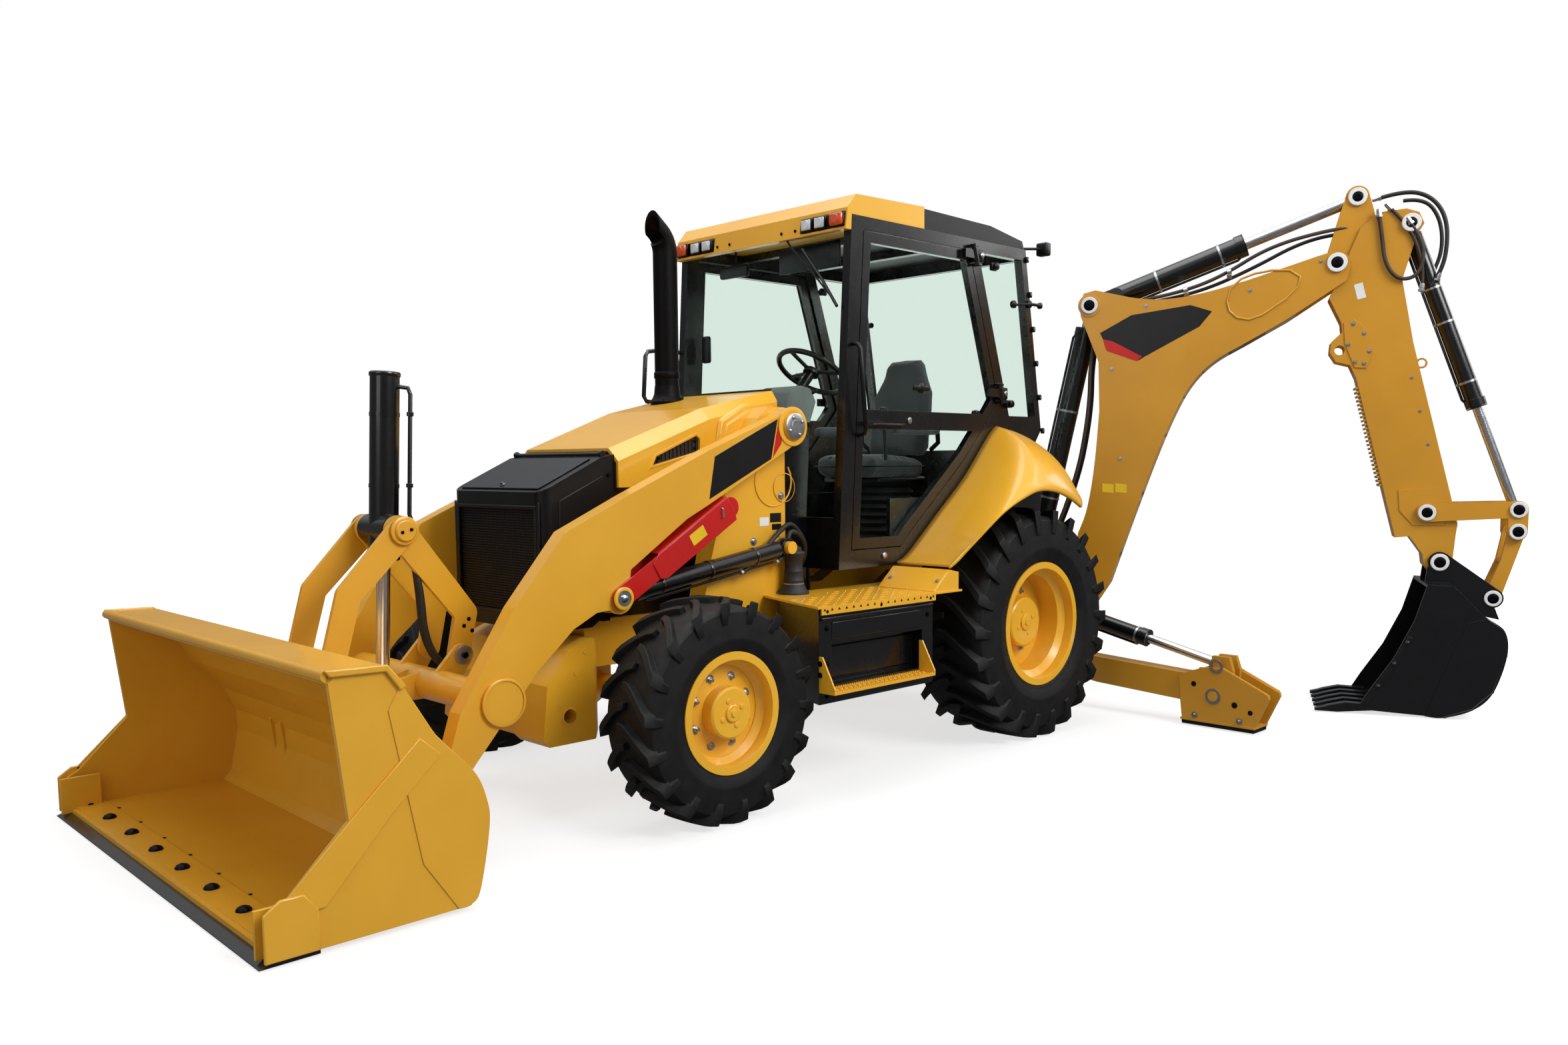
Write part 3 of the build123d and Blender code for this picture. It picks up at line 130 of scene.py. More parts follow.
def addRoughnessRange(tree, shader, coords, low, high, scale):
    noise = addNode(tree, "ShaderNodeTexNoise", {"Scale": scale, "Detail": 5}, {"Vector": coords})
    mapped = addNode(tree, "ShaderNodeMapRange", {"To Min": low, "To Max": high}, {"Value": noise.outputs["Fac"]})
    tree.links.new(mapped.outputs["Result"], shader.inputs["Roughness"])


def sprayedPaint(name, first, second, roughness, coat, peel=0.00012):
    # two-pack machine enamel, sprayed: slow colour drift and fine orange peel under a clear gloss
    material, tree, shader, coords = startMaterial(name, first, roughness, Coat_Weight=coat, Coat_Roughness=0.12)
    addMottle(tree, shader, coords, first, second, 2.3)
    addRoughnessRange(tree, shader, coords, roughness - 0.05, roughness + 0.08, 9)
    grain = addNode(tree, "ShaderNodeTexNoise", {"Scale": 320, "Detail": 2}, {"Vector": coords})   # 3 mm peel
    addBump(tree, shader, grain.outputs["Fac"], peel)
    return material


yellowEnamel = sprayedPaint("yellow enamel, sprayed", "#e9ae2c", "#e2a524", 0.3, 0.35)
# the loader and the backhoe carry the hood's one yellow; these two darker copies paint in the shade that falls on
# them
paintedShadeYellow = sprayedPaint("yellow enamel, sprayed, darkened for painted shade", "#e0a62c", "#d99e26", 0.32, 0.35)
paintedDeepShadeYellow = sprayedPaint("yellow enamel, sprayed, deeper darkened for painted shade", "#ca8f20", "#c1871c", 0.34, 0.3)
blackEnamel = sprayedPaint("black enamel, sprayed", "#08080a", "#0d0d10", 0.26, 0.4)
redEnamel = sprayedPaint("red enamel, sprayed", "#c4140f", "#b8120e", 0.28, 0.45)


def makeRubber():   # carbon-black tyre rubber, moulded: matte, faintly dusty on the blocks
    material, tree, shader, coords = startMaterial("tyre rubber, moulded", "#0a0a0b", 0.62, Specular_IOR_Level=0.3)
    addMottle(tree, shader, coords, "#070708", "#121213", 14, 6)
    addRoughnessRange(tree, shader, coords, 0.5, 0.78, 22)
    grain = addNode(tree, "ShaderNodeTexNoise", {"Scale": 420, "Detail": 3}, {"Vector": coords})
    addBump(tree, shader, grain.outputs["Fac"], 0.0004)
    return material


def makePlastic(name, first, second, roughness, grainScale=700, shine=0.5):
    # injection-moulded plastic: a fine leather-like grain that breaks up the sheen
    material, tree, shader, coords = startMaterial(name, first, roughness, Specular_IOR_Level=shine)
    addMottle(tree, shader, coords, first, second, 6)
    grain = addNode(tree, "ShaderNodeTexVoronoi", {"Scale": grainScale}, {"Vector": coords})
    addBump(tree, shader, grain.outputs["Distance"], 0.00025, 0.6)
    return material


def makeGlass():   # toughened float glass with a green tint: clear, with the edge colour showing faintly
    material = startMaterial("cab glass, float, green tint", "#eaf3ee", 0.02, Transmission_Weight=1, IOR=1.02,
        Specular_IOR_Level=0.5)[0]   # low IOR: thin panes hardly bend what is behind them
    material.blend_method = "BLEND"
    return material


def makeChrome():   # hard-chromed rod, ground and polished: bright, with a slightly uneven shine
    material, tree, shader, coords = startMaterial("rod chrome, ground", "#e6e7ea", 0.2, 1)
    addRoughnessRange(tree, shader, coords, 0.16, 0.28, 30)
    return material


def makeZinc(name="bolts, zinc plated", colour="#b9bbbd", roughness=0.34):
    # zinc plate over turned steel: cool grey with a soft uneven shine
    material, tree, shader, coords = startMaterial(name, colour, roughness, 1)
    addRoughnessRange(tree, shader, coords, roughness - 0.1, roughness + 0.14, 60)
    return material


def makeLens(name, first, second):   # moulded acrylic over a bright reflector: glossy, with fine upright flutes
    material, tree, shader, coords = startMaterial(name, first, 0.12, Coat_Weight=0.6, Coat_Roughness=0.04)
    addMottle(tree, shader, coords, first, second, 30)
    flutes = addNode(tree, "ShaderNodeTexWave", {"Scale": 90, "Distortion": 0.2}, {"Vector": coords},
        bands_direction="X")
    addBump(tree, shader, flutes.outputs["Fac"], 0.0006)
    return material


def makeFabric():   # woven seat cloth, mid grey: a twill of 2 mm threads with two tones of yarn
    material, tree, shader, coords = startMaterial("seat cloth, woven twill, grey", "#3d4044", 0.9, Sheen_Weight=0.35,
        Sheen_Roughness=0.5)
    over = addNode(tree, "ShaderNodeTexWave", {"Scale": 150, "Distortion": 0.3}, {"Vector": coords},
        bands_direction="DIAGONAL")
    under = addNode(tree, "ShaderNodeTexWave", {"Scale": 170, "Distortion": 0.2}, {"Vector": coords},
        bands_direction="Z")
    weave = addNode(tree, "ShaderNodeMath", operation="MULTIPLY")
    tree.links.new(over.outputs["Fac"], weave.inputs[0])
    tree.links.new(under.outputs["Fac"], weave.inputs[1])
    ramp = addNode(tree, "ShaderNodeValToRGB", links={"Fac": weave.outputs["Value"]})
    ramp.color_ramp.elements[0].color = toLinear("#2d2f33")
    ramp.color_ramp.elements[1].color = toLinear("#55595e")
    tree.links.new(ramp.outputs["Color"], shader.inputs["Base Color"])
    addBump(tree, shader, weave.outputs["Value"], 0.0006)
    return material


tyreRubber = makeRubber()
blackPlastic = makePlastic("black ABS, moulded", "#08080a", "#0d0d0f", 0.34, shine=0.3)
greyPlastic = makePlastic("grey ABS, moulded", "#4a4c50", "#55575c", 0.55)
cabGlass = makeGlass()
rodChrome = makeChrome()
zincPlate = makeZinc()
darkSteel = makeZinc("bolts, black oxide", "#1b1b1e", 0.42)
stackSteel = makeZinc("stack, blackened steel", "#1c1b1b", 0.5)

finishes = [
    (yellowEnamel, ["hood", "cab_visor", "rear_fenders", "step_plates", "rim_front_left", "rim_front_right",
        "rim_rear_left", "rim_rear_right", "main_frame", "counterweight", "front_axle", "knuckle_left",
        "knuckle_right"]),
    (paintedShadeYellow, ["loader_arms", "loader_bucket", "tilt_lever", "bucket_links"]),
    (paintedDeepShadeYellow, ["swing_frame", "boom", "inner_stick", "outer_stick", "bucket_lever", "bucket_link",
        "stabiliser_leg_left", "stabiliser_leg_right"]),
    (blackEnamel, ["cab_frame", "door_left", "door_right", "side_tanks", "rear_axle", "hoe_bucket",
        "lift_cylinder_barrels", "tilt_cylinder_barrel", "boom_cylinder_barrel", "stick_cylinder_barrel",
        "bucket_cylinder_barrel", "stabiliser_barrel_left", "stabiliser_barrel_right", "cutting_edge",
        "engine_block"]),
    (rodChrome, ["lift_cylinder_rods", "tilt_cylinder_rod", "boom_cylinder_rod", "stick_cylinder_rod",
        "bucket_cylinder_rod", "stabiliser_rod_left", "stabiliser_rod_right"]),
    (cabGlass, ["cab_glass", "door_glass_left", "door_glass_right"]),
    (redEnamel, ["lift_arm_brace"]),
    (blackPlastic, ["cab_roof", "grille_shell", "steering_console"]),
    (tyreRubber, ["tyre_front_left", "tyre_front_right", "tyre_rear_left", "tyre_rear_right"]),
    (greyPlastic, ["operator_seat"]),
    (stackSteel, ["exhaust_stack"]),
]
for material, names in finishes:
    for name in names:
        nodes[name].data.materials.clear()
        nodes[name].data.materials.append(material)
print("finishes on the frame")


def finishPiece(name, shape, material, body, base=machine, bevel=0, smooth=32):
    mesh = bpy.data.meshes.new(name)
    bmesh.ops.recalc_face_normals(shape, faces=shape.faces)
    shape.to_mesh(mesh)
    shape.free()
    mesh.transform(base)
    if base.determinant() < 0:
        mesh.flip_normals()
    mesh.materials.append(material)
    piece = bpy.data.objects.new(name, mesh)
    bpy.context.scene.collection.objects.link(piece)
    for face in mesh.polygons:
        face.use_smooth = True
    mesh.set_sharp_from_angle(angle=math.radians(smooth))
    if bevel:
        edge = piece.modifiers.new("softened edges", "BEVEL")
        edge.width = bevel / 1000
        edge.segments = 2
        edge.limit_method = "ANGLE"
        edge.angle_limit = math.radians(40)
    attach(piece, body)
    return piece


def addLoops(shape, loops, caps=True, hoop=False):
    # quads between successive rings of points; a hoop's last ring joins its first
    rings = [[shape.verts.new(p) for p in loop] for loop in loops]
    count = len(rings[0])
    for one, other in list(zip(rings, rings[1:])) + ([(rings[-1], rings[0])] if hoop else []):
        for i in range(count):
            j = (i + 1) % count
            shape.faces.new((one[i], one[j], other[j], other[i]))
    if caps:
        shape.faces.new(list(reversed(rings[0])))
        shape.faces.new(rings[-1])


def addPrism(shape, outline, low, high, plane="yz"):
    # outline in the named plane, carried along the axis that is left
    place = {"yz": lambda a, b, c: (c, a, b), "xz": lambda a, b, c: (a, c, b), "xy": lambda a, b, c: (a, b, c)}[plane]
    addLoops(shape, [[place(a, b, c) for a, b in outline] for c in (low, high)])


def addBox(shape, low, high):
    (x0, y0, z0), (x1, y1, z1) = low, high
    addPrism(shape, [(x0, y0), (x1, y0), (x1, y1), (x0, y1)], z0, z1, "xy")


def turnTo(axis):
    return Vector((0, 0, 1)).rotation_difference(Vector(axis).normalized()).to_matrix()


def addTurned(shape, profile, centre, axis=(1, 0, 0), steps=24):
    # profile of (radius, height along the axis), turned about the axis through the centre
    turn, centre = turnTo(axis), Vector(centre)
    rings = []
    for radius, height in profile:
        if radius < 0.01:
            rings.append([shape.verts.new(centre + turn @ Vector((0, 0, height)))])
        else:
            rings.append([shape.verts.new(centre + turn @ Vector((radius * math.cos(math.tau * i / steps),
                radius * math.sin(math.tau * i / steps), height))) for i in range(steps)])
    for one, other in zip(rings, rings[1:]):
        for i in range(steps):
            j = (i + 1) % steps
            corners = [one[i % len(one)], one[j % len(one)], other[j % len(other)], other[i % len(other)]]
            corners = list(dict.fromkeys(corners))
            if len(corners) > 2:
                shape.faces.new(corners)


def addBolt(shape, centre, axis, size, washer=1.55):   # hexagon head on a washer; size is the head's radius
    if washer:
        addTurned(shape, [(0, 0), (size * washer, 0), (size * washer, size * 0.22), (0, size * 0.22)], centre, axis,
            20)
    low = size * 0.2
    addTurned(shape, [(0, low), (size, low), (size, size * 0.75), (size * 0.82, size * 0.9), (0, size * 0.9)], centre,
        axis, 6)


def addTube(shape, points, radius, sides=12):   # a bent bar through the points, mitred at each corner
    points = [Vector(p) for p in points]
    rings, side = [], None
    for i, point in enumerate(points):
        before, after = points[max(i - 1, 0)], points[min(i + 1, len(points) - 1)]
        ahead = (after - before).normalized()
        if side is None:
            side = ahead.orthogonal().normalized()
        side = (side - ahead * side.dot(ahead)).normalized()
        up = ahead.cross(side)
        rings.append([point + radius * (side * math.cos(math.tau * k / sides) + up * math.sin(math.tau * k / sides))
            for k in range(sides)])
    addLoops(shape, rings)


def hoseLine(name, points, radius, material, body, base=machine):   # a hose on one smooth line through its clamps
    line = bpy.data.curves.new(name, "CURVE")
    line.dimensions = "3D"
    line.bevel_depth = radius / 1000
    line.bevel_resolution = 3
    line.resolution_u = 8
    line.use_fill_caps = True
    spline = line.splines.new("NURBS")
    spline.points.add(len(points) - 1)
    for spot, point in zip(spline.points, points):
        spot.co = (*(base @ Vector(point)), 1)
    spline.order_u = 3
    spline.use_endpoint_u = True
    line.materials.append(material)
    piece = bpy.data.objects.new(name, line)
    bpy.context.scene.collection.objects.link(piece)
    if body:
        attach(piece, body)
    return piece


def spread(count, low, high):
    return [low + (high - low) * i / (count - 1) for i in range(count)]


tyres = {   # tyres with their tread
    "rear": {"radius": 620, "half": 242, "bead": 305, "lug": 36, "lugs": 22, "lugWidth": 58, "track": 860, "y": 0},
    "front": {"radius": 470, "half": 155, "bead": 229, "lug": 27, "lugs": 18, "lugWidth": 50, "track": 925,
        "y": -2200},
}


def crownRadius(tyre, across):
    # casing radius at a share of the half width, flat in the middle and rounded at the shoulder
    share = min(abs(across), 1)
    casing = tyre["radius"] - tyre["lug"]
    wall = casing - tyre["bead"]
    if share < 0.8:
        return casing - 10 * (share / 0.8) ** 2
    bend = (share - 0.8) / 0.2
    return casing - 10 - wall * 0.3 * (1 - math.sqrt(max(0, 1 - bend ** 2)))


def addLug(shape, tyre, middle, start, sideways):
    # one bar: from beyond the centre line it curves back to the shoulder and runs down the side wall
    half, radius, height = tyre["half"], tyre["radius"], tyre["lug"]
    rings = []
    # share across, sweep in radians, half width share, how far down the side wall
    stations = [(-0.1, 0, 0.72, 0), (0.12, 0.02, 0.86, 0), (0.35, 0.075, 0.94, 0), (0.6, 0.15, 1, 0),
        (0.82, 0.225, 1.06, 0), (0.955, 0.275, 1.12, 0), (1, 0.292, 1.06, 0.24), (0.985, 0.3, 0.9, 0.42)]
    for across, sweep, width, down in stations:
        floor = crownRadius(tyre, across) - 4
        top = radius - (6 if across < 0.9 else 10) * max(0, across) ** 2
        out = 0
        if down:
            floor = (radius - height) - (radius - height - tyre["bead"]) * down
            top = radius - 12 - (radius - height - tyre["bead"]) * (down - 0.12)
            out = 7
        spanFloor = tyre["lugWidth"] * width / radius
        spanTop = spanFloor * 0.78
        ring = []
        for level, span, x in ((floor, spanFloor / 2, across * half), (top, spanTop / 2, across * half + out)):
            pair = [(level, -span, x), (level, span, x)]
            ring.extend(pair if level == floor else reversed(pair))
        if down:
            ring = [(floor + 8, -spanFloor / 2, half * 0.93), (floor + 8, spanFloor / 2, half * 0.93),
                (floor + 22, spanTop / 2, half), (floor + 22, -spanTop / 2, half)]
        rings.append([(middle + sideways * x, tyre["y"] + level * math.cos(start + sweep + turn),
            tyre["radius"] + level * math.sin(start + sweep + turn)) for level, turn, x in ring])
    addLoops(shape, rings)


def makeTyre(where, side, body):
    tyre = tyres[where]
    outward = 1 if side == "left" else -1
    middle = tyre["track"] * outward
    shape = bmesh.new()
    profile = []
    half, bead, casing = tyre["half"], tyre["bead"], tyre["radius"] - tyre["lug"]
    wall = casing - bead
    # height share and width share of the side wall, from the bead to the shoulder
    wallLine = [(0, 0.8), (0.0, 0.84), (0.1, 0.86), (0.13, 0.9), (0.16, 0.905), (0.2, 0.935), (0.34, 0.975),
        (0.37, 0.985), (0.4, 0.978), (0.55, 0.985), (0.66, 0.965), (0.74, 0.955)]
    for up, out in wallLine:
        profile.append((bead + wall * up, -half * out))
    for across in spread(17, -0.93, 0.93):
        profile.append((crownRadius(tyre, across), half * across))
    for up, out in reversed(wallLine):
        profile.append((bead + wall * up, half * out))
    addTurned(shape, profile, (middle, tyre["y"], tyre["radius"]), (1, 0, 0), 96)
    # the bore between the beads is closed by the rim, so the ring is joined inside
    addTurned(shape, [(bead, half * 0.8), (bead, -half * 0.8)], (middle, tyre["y"], tyre["radius"]), (1, 0, 0), 96)
    bmesh.ops.remove_doubles(shape, verts=shape.verts, dist=0.01)
    pitch = math.tau / tyre["lugs"]
    for i in range(tyre["lugs"]):
        addLug(shape, tyre, middle, -pitch * i, outward)
        addLug(shape, tyre, middle, -pitch * (i + 0.5), -outward)
    piece = finishPiece(f"tread_{where}_{side}", shape, tyreRubber, body, bevel=3, smooth=40)
    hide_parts(f"tyre_{where}_{side}")


for where in tyres:
    for side in ("left", "right"):
        makeTyre(where, side, f"{where}_wheel_{side}")
print("tyres trodden")

# what is bolted to the wheels
wheelTrim = {"rear": {"studs": 8, "circle": 170, "disc": 20, "size": 15, "face": 106, "hub": 134},
    "front": {"studs": 8, "circle": 146, "disc": 60, "size": 13, "face": 134, "hub": 108}}
for where, trim in wheelTrim.items():
    for side, outward in (("left", 1), ("right", -1)):
        spot = Vector((tyres[where]["track"] * outward, tyres[where]["y"], tyres[where]["radius"]))
        axis = Vector((outward, 0, 0))
        studs, caps = bmesh.new(), bmesh.new()
        for i in range(trim["studs"]):
            turn = math.tau * (i + 0.5) / trim["studs"]
            around = Vector((0, math.cos(turn), math.sin(turn)))
            base = spot + axis * trim["disc"] + around * trim["circle"]
            addBolt(studs, base, axis, trim["size"], 1.7)
            addTurned(studs, [(trim["size"] * 0.5, 0), (trim["size"] * 0.5, trim["size"] * 1.7),
                (0, trim["size"] * 1.7)], base, axis, 12)
        for i in range(4):
            turn = math.tau * (i + 0.25) / 4
            around = Vector((0, math.cos(turn), math.sin(turn)))
            addTurned(caps, [(12, 0), (12, 3), (8, 5), (0, 5)], spot + axis * trim["face"]
                + around * trim["hub"] * 0.52, axis, 16)
        addTurned(caps, [(trim["hub"] * 0.34, 0), (trim["hub"] * 0.34, 8), (trim["hub"] * 0.3, 11),
            (trim["hub"] * 0.14, 11), (trim["hub"] * 0.14, 17), (0, 17)], spot + axis * trim["face"], axis, 24)
        finishPiece(f"studs_{where}_{side}", studs, zincPlate, f"{where}_wheel_{side}")
        finishPiece(f"hub_plugs_{where}_{side}", caps, yellowEnamel, f"{where}_wheel_{side}", bevel=1)
print("wheels trimmed")

# grille, hood and stack
def prismPiece(name, outline, low, high, material, body, plane="yz", base=machine, bevel=2):
    shape = bmesh.new()
    addPrism(shape, outline, low, high, plane)
    return finishPiece(name, shape, material, body, base, bevel)


def turnedPiece(name, profile, centre, axis, steps, material, body, base=machine, **more):
    shape = bmesh.new()
    addTurned(shape, profile, centre, axis, steps)
    return finishPiece(name, shape, material, body, base, **more)


def tubePiece(name, points, radius, sides, material, body, base=machine, **more):
    shape = bmesh.new()
    addTube(shape, points, radius, sides)
    return finishPiece(name, shape, material, body, base, **more)


def boltPiece(name, spots, axis, size, material, body, base=machine, washer=1.55):
    shape = bmesh.new()
    for spot in spots:
        addBolt(shape, spot, axis, size, washer)
    return finishPiece(name, shape, material, body, base)


sides = (("left", machine), ("right", machine @ mirrored))


def bothSides(make):   # makes a piece on the left, then its mirror image on the right
    for side, base in sides:
        make(side, base)


def grown(outline, by):   # the outline moved outwards by a distance, corner by corner
    count, moved = len(outline), []
    turn = sum(outline[i][0] * outline[(i + 1) % count][1] - outline[(i + 1) % count][0] * outline[i][1]
        for i in range(count))
    for i in range(count):
        (a, b), (c, d), (e, f) = outline[i - 1], outline[i], outline[(i + 1) % count]
        one, two = Vector((d - b, a - c)).normalized(), Vector((f - d, c - e)).normalized()
        out = (one + two) / max(1 + one.dot(two), 0.4) * (by if turn > 0 else -by)
        moved.append((c + out.x, d + out.y))
    return moved


def smoothLine(points, k, share):   # a point on the smooth curve through `points`, past number k by `share`
    a, b, c, d = (Vector(points[min(max(k + j, 0), len(points) - 1)]) for j in (-1, 0, 1, 2))
    return 0.5 * (2 * b + (c - a) * share + (2 * a - 5 * b + 4 * c - d) * share ** 2
        + (3 * b - a - 3 * c + d) * share ** 3)


def smoothed(points, steps=8):
    return [tuple(smoothLine(points, k, j / steps)) for k in range(len(points) - 1)
        for j in range(steps)] + [points[-1]]


def roundedCorners(points, steps=8):   # fills each corner of a hollow edge, from the middle of one run to the next
    fills = []
    for a, b, c in zip(points, points[1:], points[2:]):
        a, b, c = Vector(a), Vector(b), Vector(c)
        start, end = (a + b) / 2, (b + c) / 2
        arc = [start.lerp(b, t).lerp(b.lerp(end, t), t) for t in (j / steps for j in range(steps + 1))]
        fills.append([tuple(p) for p in arc] + [tuple(b)])
    return fills


grille = {"half": 317, "low": 850, "high": 1300, "pitch": 11, "wire": 2.2, "face": -2631}
mesh = bmesh.new()
for x in spread(int(2 * grille["half"] / grille["pitch"]), -grille["half"], grille["half"]):
    addBox(mesh, (x - grille["wire"], grille["face"], grille["low"]), (x + grille["wire"], grille["face"] + 4,
        grille["high"]))
for z in spread(int((grille["high"] - grille["low"]) / grille["pitch"]), grille["low"], grille["high"]):
    addBox(mesh, (-grille["half"], grille["face"] - 2, z - grille["wire"]),
        (grille["half"], grille["face"] + 2, z + grille["wire"]))
finishPiece("grille_mesh", mesh, blackPlastic, "machine")
rim = bmesh.new()
for x0, x1 in ((-330, -314), (314, 330)):
    addBox(rim, (x0, -2645, 840), (x1, -2625, 1310))
for z0, z1 in ((838, 852), (1298, 1314)):
    addBox(rim, (-330, -2647, z0), (330, -2625, z1))
finishPiece("grille_rim", rim, blackPlastic, "machine", bevel=4)
# the sloping panel on top, with its hinge rod and catch
slope = {"low": (-2622, 1380.5), "high": (-2352, 1509), "half": 318}
(y0, z0), (y1, z1) = slope["low"], slope["high"]
prismPiece("grille_top_panel", [(y0, z0), (y1, z1), (y1 - 3, z1 + 7), (y0 - 3, z0 + 7)], -slope["half"],
    slope["half"], blackPlastic, "machine", bevel=5)
trim = bmesh.new()
addTube(trim, [(-340, -2312, 1532), (340, -2312, 1532)], 9)
for x in (-345, 345):
    addTurned(trim, [(0, -7), (15, -7), (17, 0), (15, 7), (0, 7)], (x, -2312, 1532), (1, 0, 0), 16)
addTurned(trim, [(16, 0), (16, 4), (11, 7), (8, 14), (0, 15)], (0, -2596, 1399), (0, -0.43, 0.9), 20)
finishPiece("grille_hinge_rod", trim, blackEnamel, "machine")


def grilleSide(side, base):
    boltPiece(f"grille_bolts_{side}", [(372, -2440, 905), (372, -2440, 1090), (372, -2440, 1275), (372, -2300, 1440)],
        (1, 0, 0), 7, darkSteel, "machine", base)
    prismPiece(f"grille_cheek_{side}", [(-2555, 845), (-2555, 1335), (-2330, 1440), (-2330, 905), (-2410, 845)], 370,
        377, blackPlastic, "machine", base=base, bevel=4)
    prismPiece(f"grille_pillar_{side}", [(330, 838), (330, 1318), (352, 1330), (352, 838)], -2643, -2632,
        blackPlastic, "machine", "xz", base, 4)


bothSides(grilleSide)
ventScreen = makePlastic("vent screen, brown-black polymer", "#1c1510", "#261c14", 0.5)
vent = {"outline": [(-2082, 1480), (-2062, 1520), (-1835, 1615), (-1815, 1600), (-1815, 1545)], "slant": 18 / 505,
    "half": 400, "start": -2265}


def hoodSide(y, out=0):   # the hood's side wall leans out towards the cab
    return vent["half"] + vent["slant"] * (y - vent["start"]) + out


def hoodVent(side, base):
    shape = bmesh.new()
    outer, inner = grown(vent["outline"], 13), vent["outline"]
    rings = [(outer, -1), (grown(inner, 11), 4), (grown(inner, 3), 5), (inner, 3), (grown(inner, -1), -12)]
    addLoops(shape, [[(hoodSide(y, out), y, z) for y, z in ring] for ring, out in rings], caps=False)
    finishPiece(f"vent_surround_{side}", shape, yellowEnamel, "machine", base, smooth=50)
    slats = bmesh.new()
    addLoops(slats, [[(hoodSide(y, out), y, z) for y, z in grown(inner, -0.5)] for out in (-18, -12)])
    for k in range(12):
        share = (k + 0.5) / 12
        y, low = -2076 + 258 * share, 1486 + 62 * share
        addBox(slats, (hoodSide(y, -12), y - 2, low), (hoodSide(y, -6), y + 2, min(low + 36 + 24 * share, 1604)))
    finishPiece(f"vent_mesh_{side}", slats, ventScreen, "machine", base)
    bolts = bmesh.new()
    for y, z in ((-2052, 1500), (-1836, 1592), (-1836, 1560), (-2040, 1512)):
        addTurned(bolts, [(7, 0), (7, 3), (4, 5), (0, 5)], (hoodSide(y, -9), y, z), (1, 0, 0), 12)
    finishPiece(f"vent_bolts_{side}", bolts, darkSteel, "machine", base)
    # housing beside the arm's pivot, and the step on its face
    housing = [(-1742, 1500), (-1704, 1690), (-1560, 1766), (-1335, 1800), (-1335, 1500)]
    prismPiece(f"pivot_housing_{side}", housing, 400, 437, yellowEnamel, "machine", base=base, bevel=14)
    prismPiece(f"pivot_housing_step_{side}", grown(housing, -32), 430, 446, yellowEnamel, "machine", base=base,
        bevel=9)


bothSides(hoodVent)
seams = bmesh.new()
addLoops(seams, [[(-381, -1330, 1838), (381, -1330, 1838), (381, -1324, 1844), (-381, -1324, 1844)],
    [(-381, -1326, 1850), (381, -1326, 1850), (381, -1320, 1850), (-381, -1320, 1850)]])
finishPiece("cowl_seal", seams, blackPlastic, "machine")
pipe = {"x": -240, "y": -1480, "foot": 1800, "collar": 1925, "bolts": 1812, "circle": 82}
stack = bmesh.new()
addTurned(stack, [(63, 0), (92, 0), (94, 5), (90, 12), (78, 22), (68, 46), (63.5, 90)],
    (pipe["x"], pipe["y"], pipe["foot"]), (0, 0, 1), 32)
addTurned(stack, [(63, 0), (67, 4), (67, 30), (63, 34)], (pipe["x"], pipe["y"], pipe["collar"]), (0, 0, 1), 32)
for turn in (0.6, 2.2, 3.8, 5.4):
    addBolt(stack, (pipe["x"] + pipe["circle"] * math.cos(turn), pipe["y"] + pipe["circle"] * math.sin(turn),
        pipe["bolts"]), (0, 0, 1), 6)
finishPiece("stack_flange", stack, stackSteel, "machine", smooth=50)
print("front end dressed")

# loader arms, tilt linkage and the red brace
def pinEnd(shape, centre, axis, radius):   # a pin's end: a chamfered disc with a dimple
    addTurned(shape, [(radius, 0), (radius, 5), (radius - 4, 9), (radius * 0.42, 9), (radius * 0.36, 6), (0, 6)],
        centre, axis, 28)


def decalSheet(name, outline, x, material, body, base=machine, plane="yz", thick=0.8):
    shape = bmesh.new()
    addPrism(shape, outline, x, x + thick, plane)
    return finishPiece(name, shape, material, body, base)


# the loader's pins, as (y, z)
pins = {"arm": (-1436, 1658), "lift": (-2443, 932), "tube": (-3006, 576), "bucket": (-3290, 235),
    "lever": (-2908, 699), "leverTop": (-3153, 1228), "link": (-3480, 640), "liftFoot": (-1450, 1088)}
armDecal = {"black": [(-1952, 1329), (-1916, 1518), (-1531, 1691), (-1574, 1506)],
    "red": [(-1565, 1510), (-1524, 1694), (-1496, 1706), (-1508, 1577)]}
vinylBlack = makePlastic("decal vinyl, black", "#0b0b0d", "#101012", 0.3, 900)
vinylRed = makePlastic("decal vinyl, red", "#c3170f", "#b8150e", 0.3, 900)
vinylWhite = makePlastic("label vinyl, white", "#e6e6e2", "#d9d9d4", 0.4, 900)
vinylYellow = makePlastic("label vinyl, yellow", "#e8c018", "#dcb414", 0.4, 900)
hoseBrown = makePlastic("hose cover, brown sleeve", "#2c2118", "#3a2b1f", 0.6, 420)
hoseRubber = makePlastic("hose cover, wrapped rubber", "#121212", "#1d1c1b", 0.55, 420)


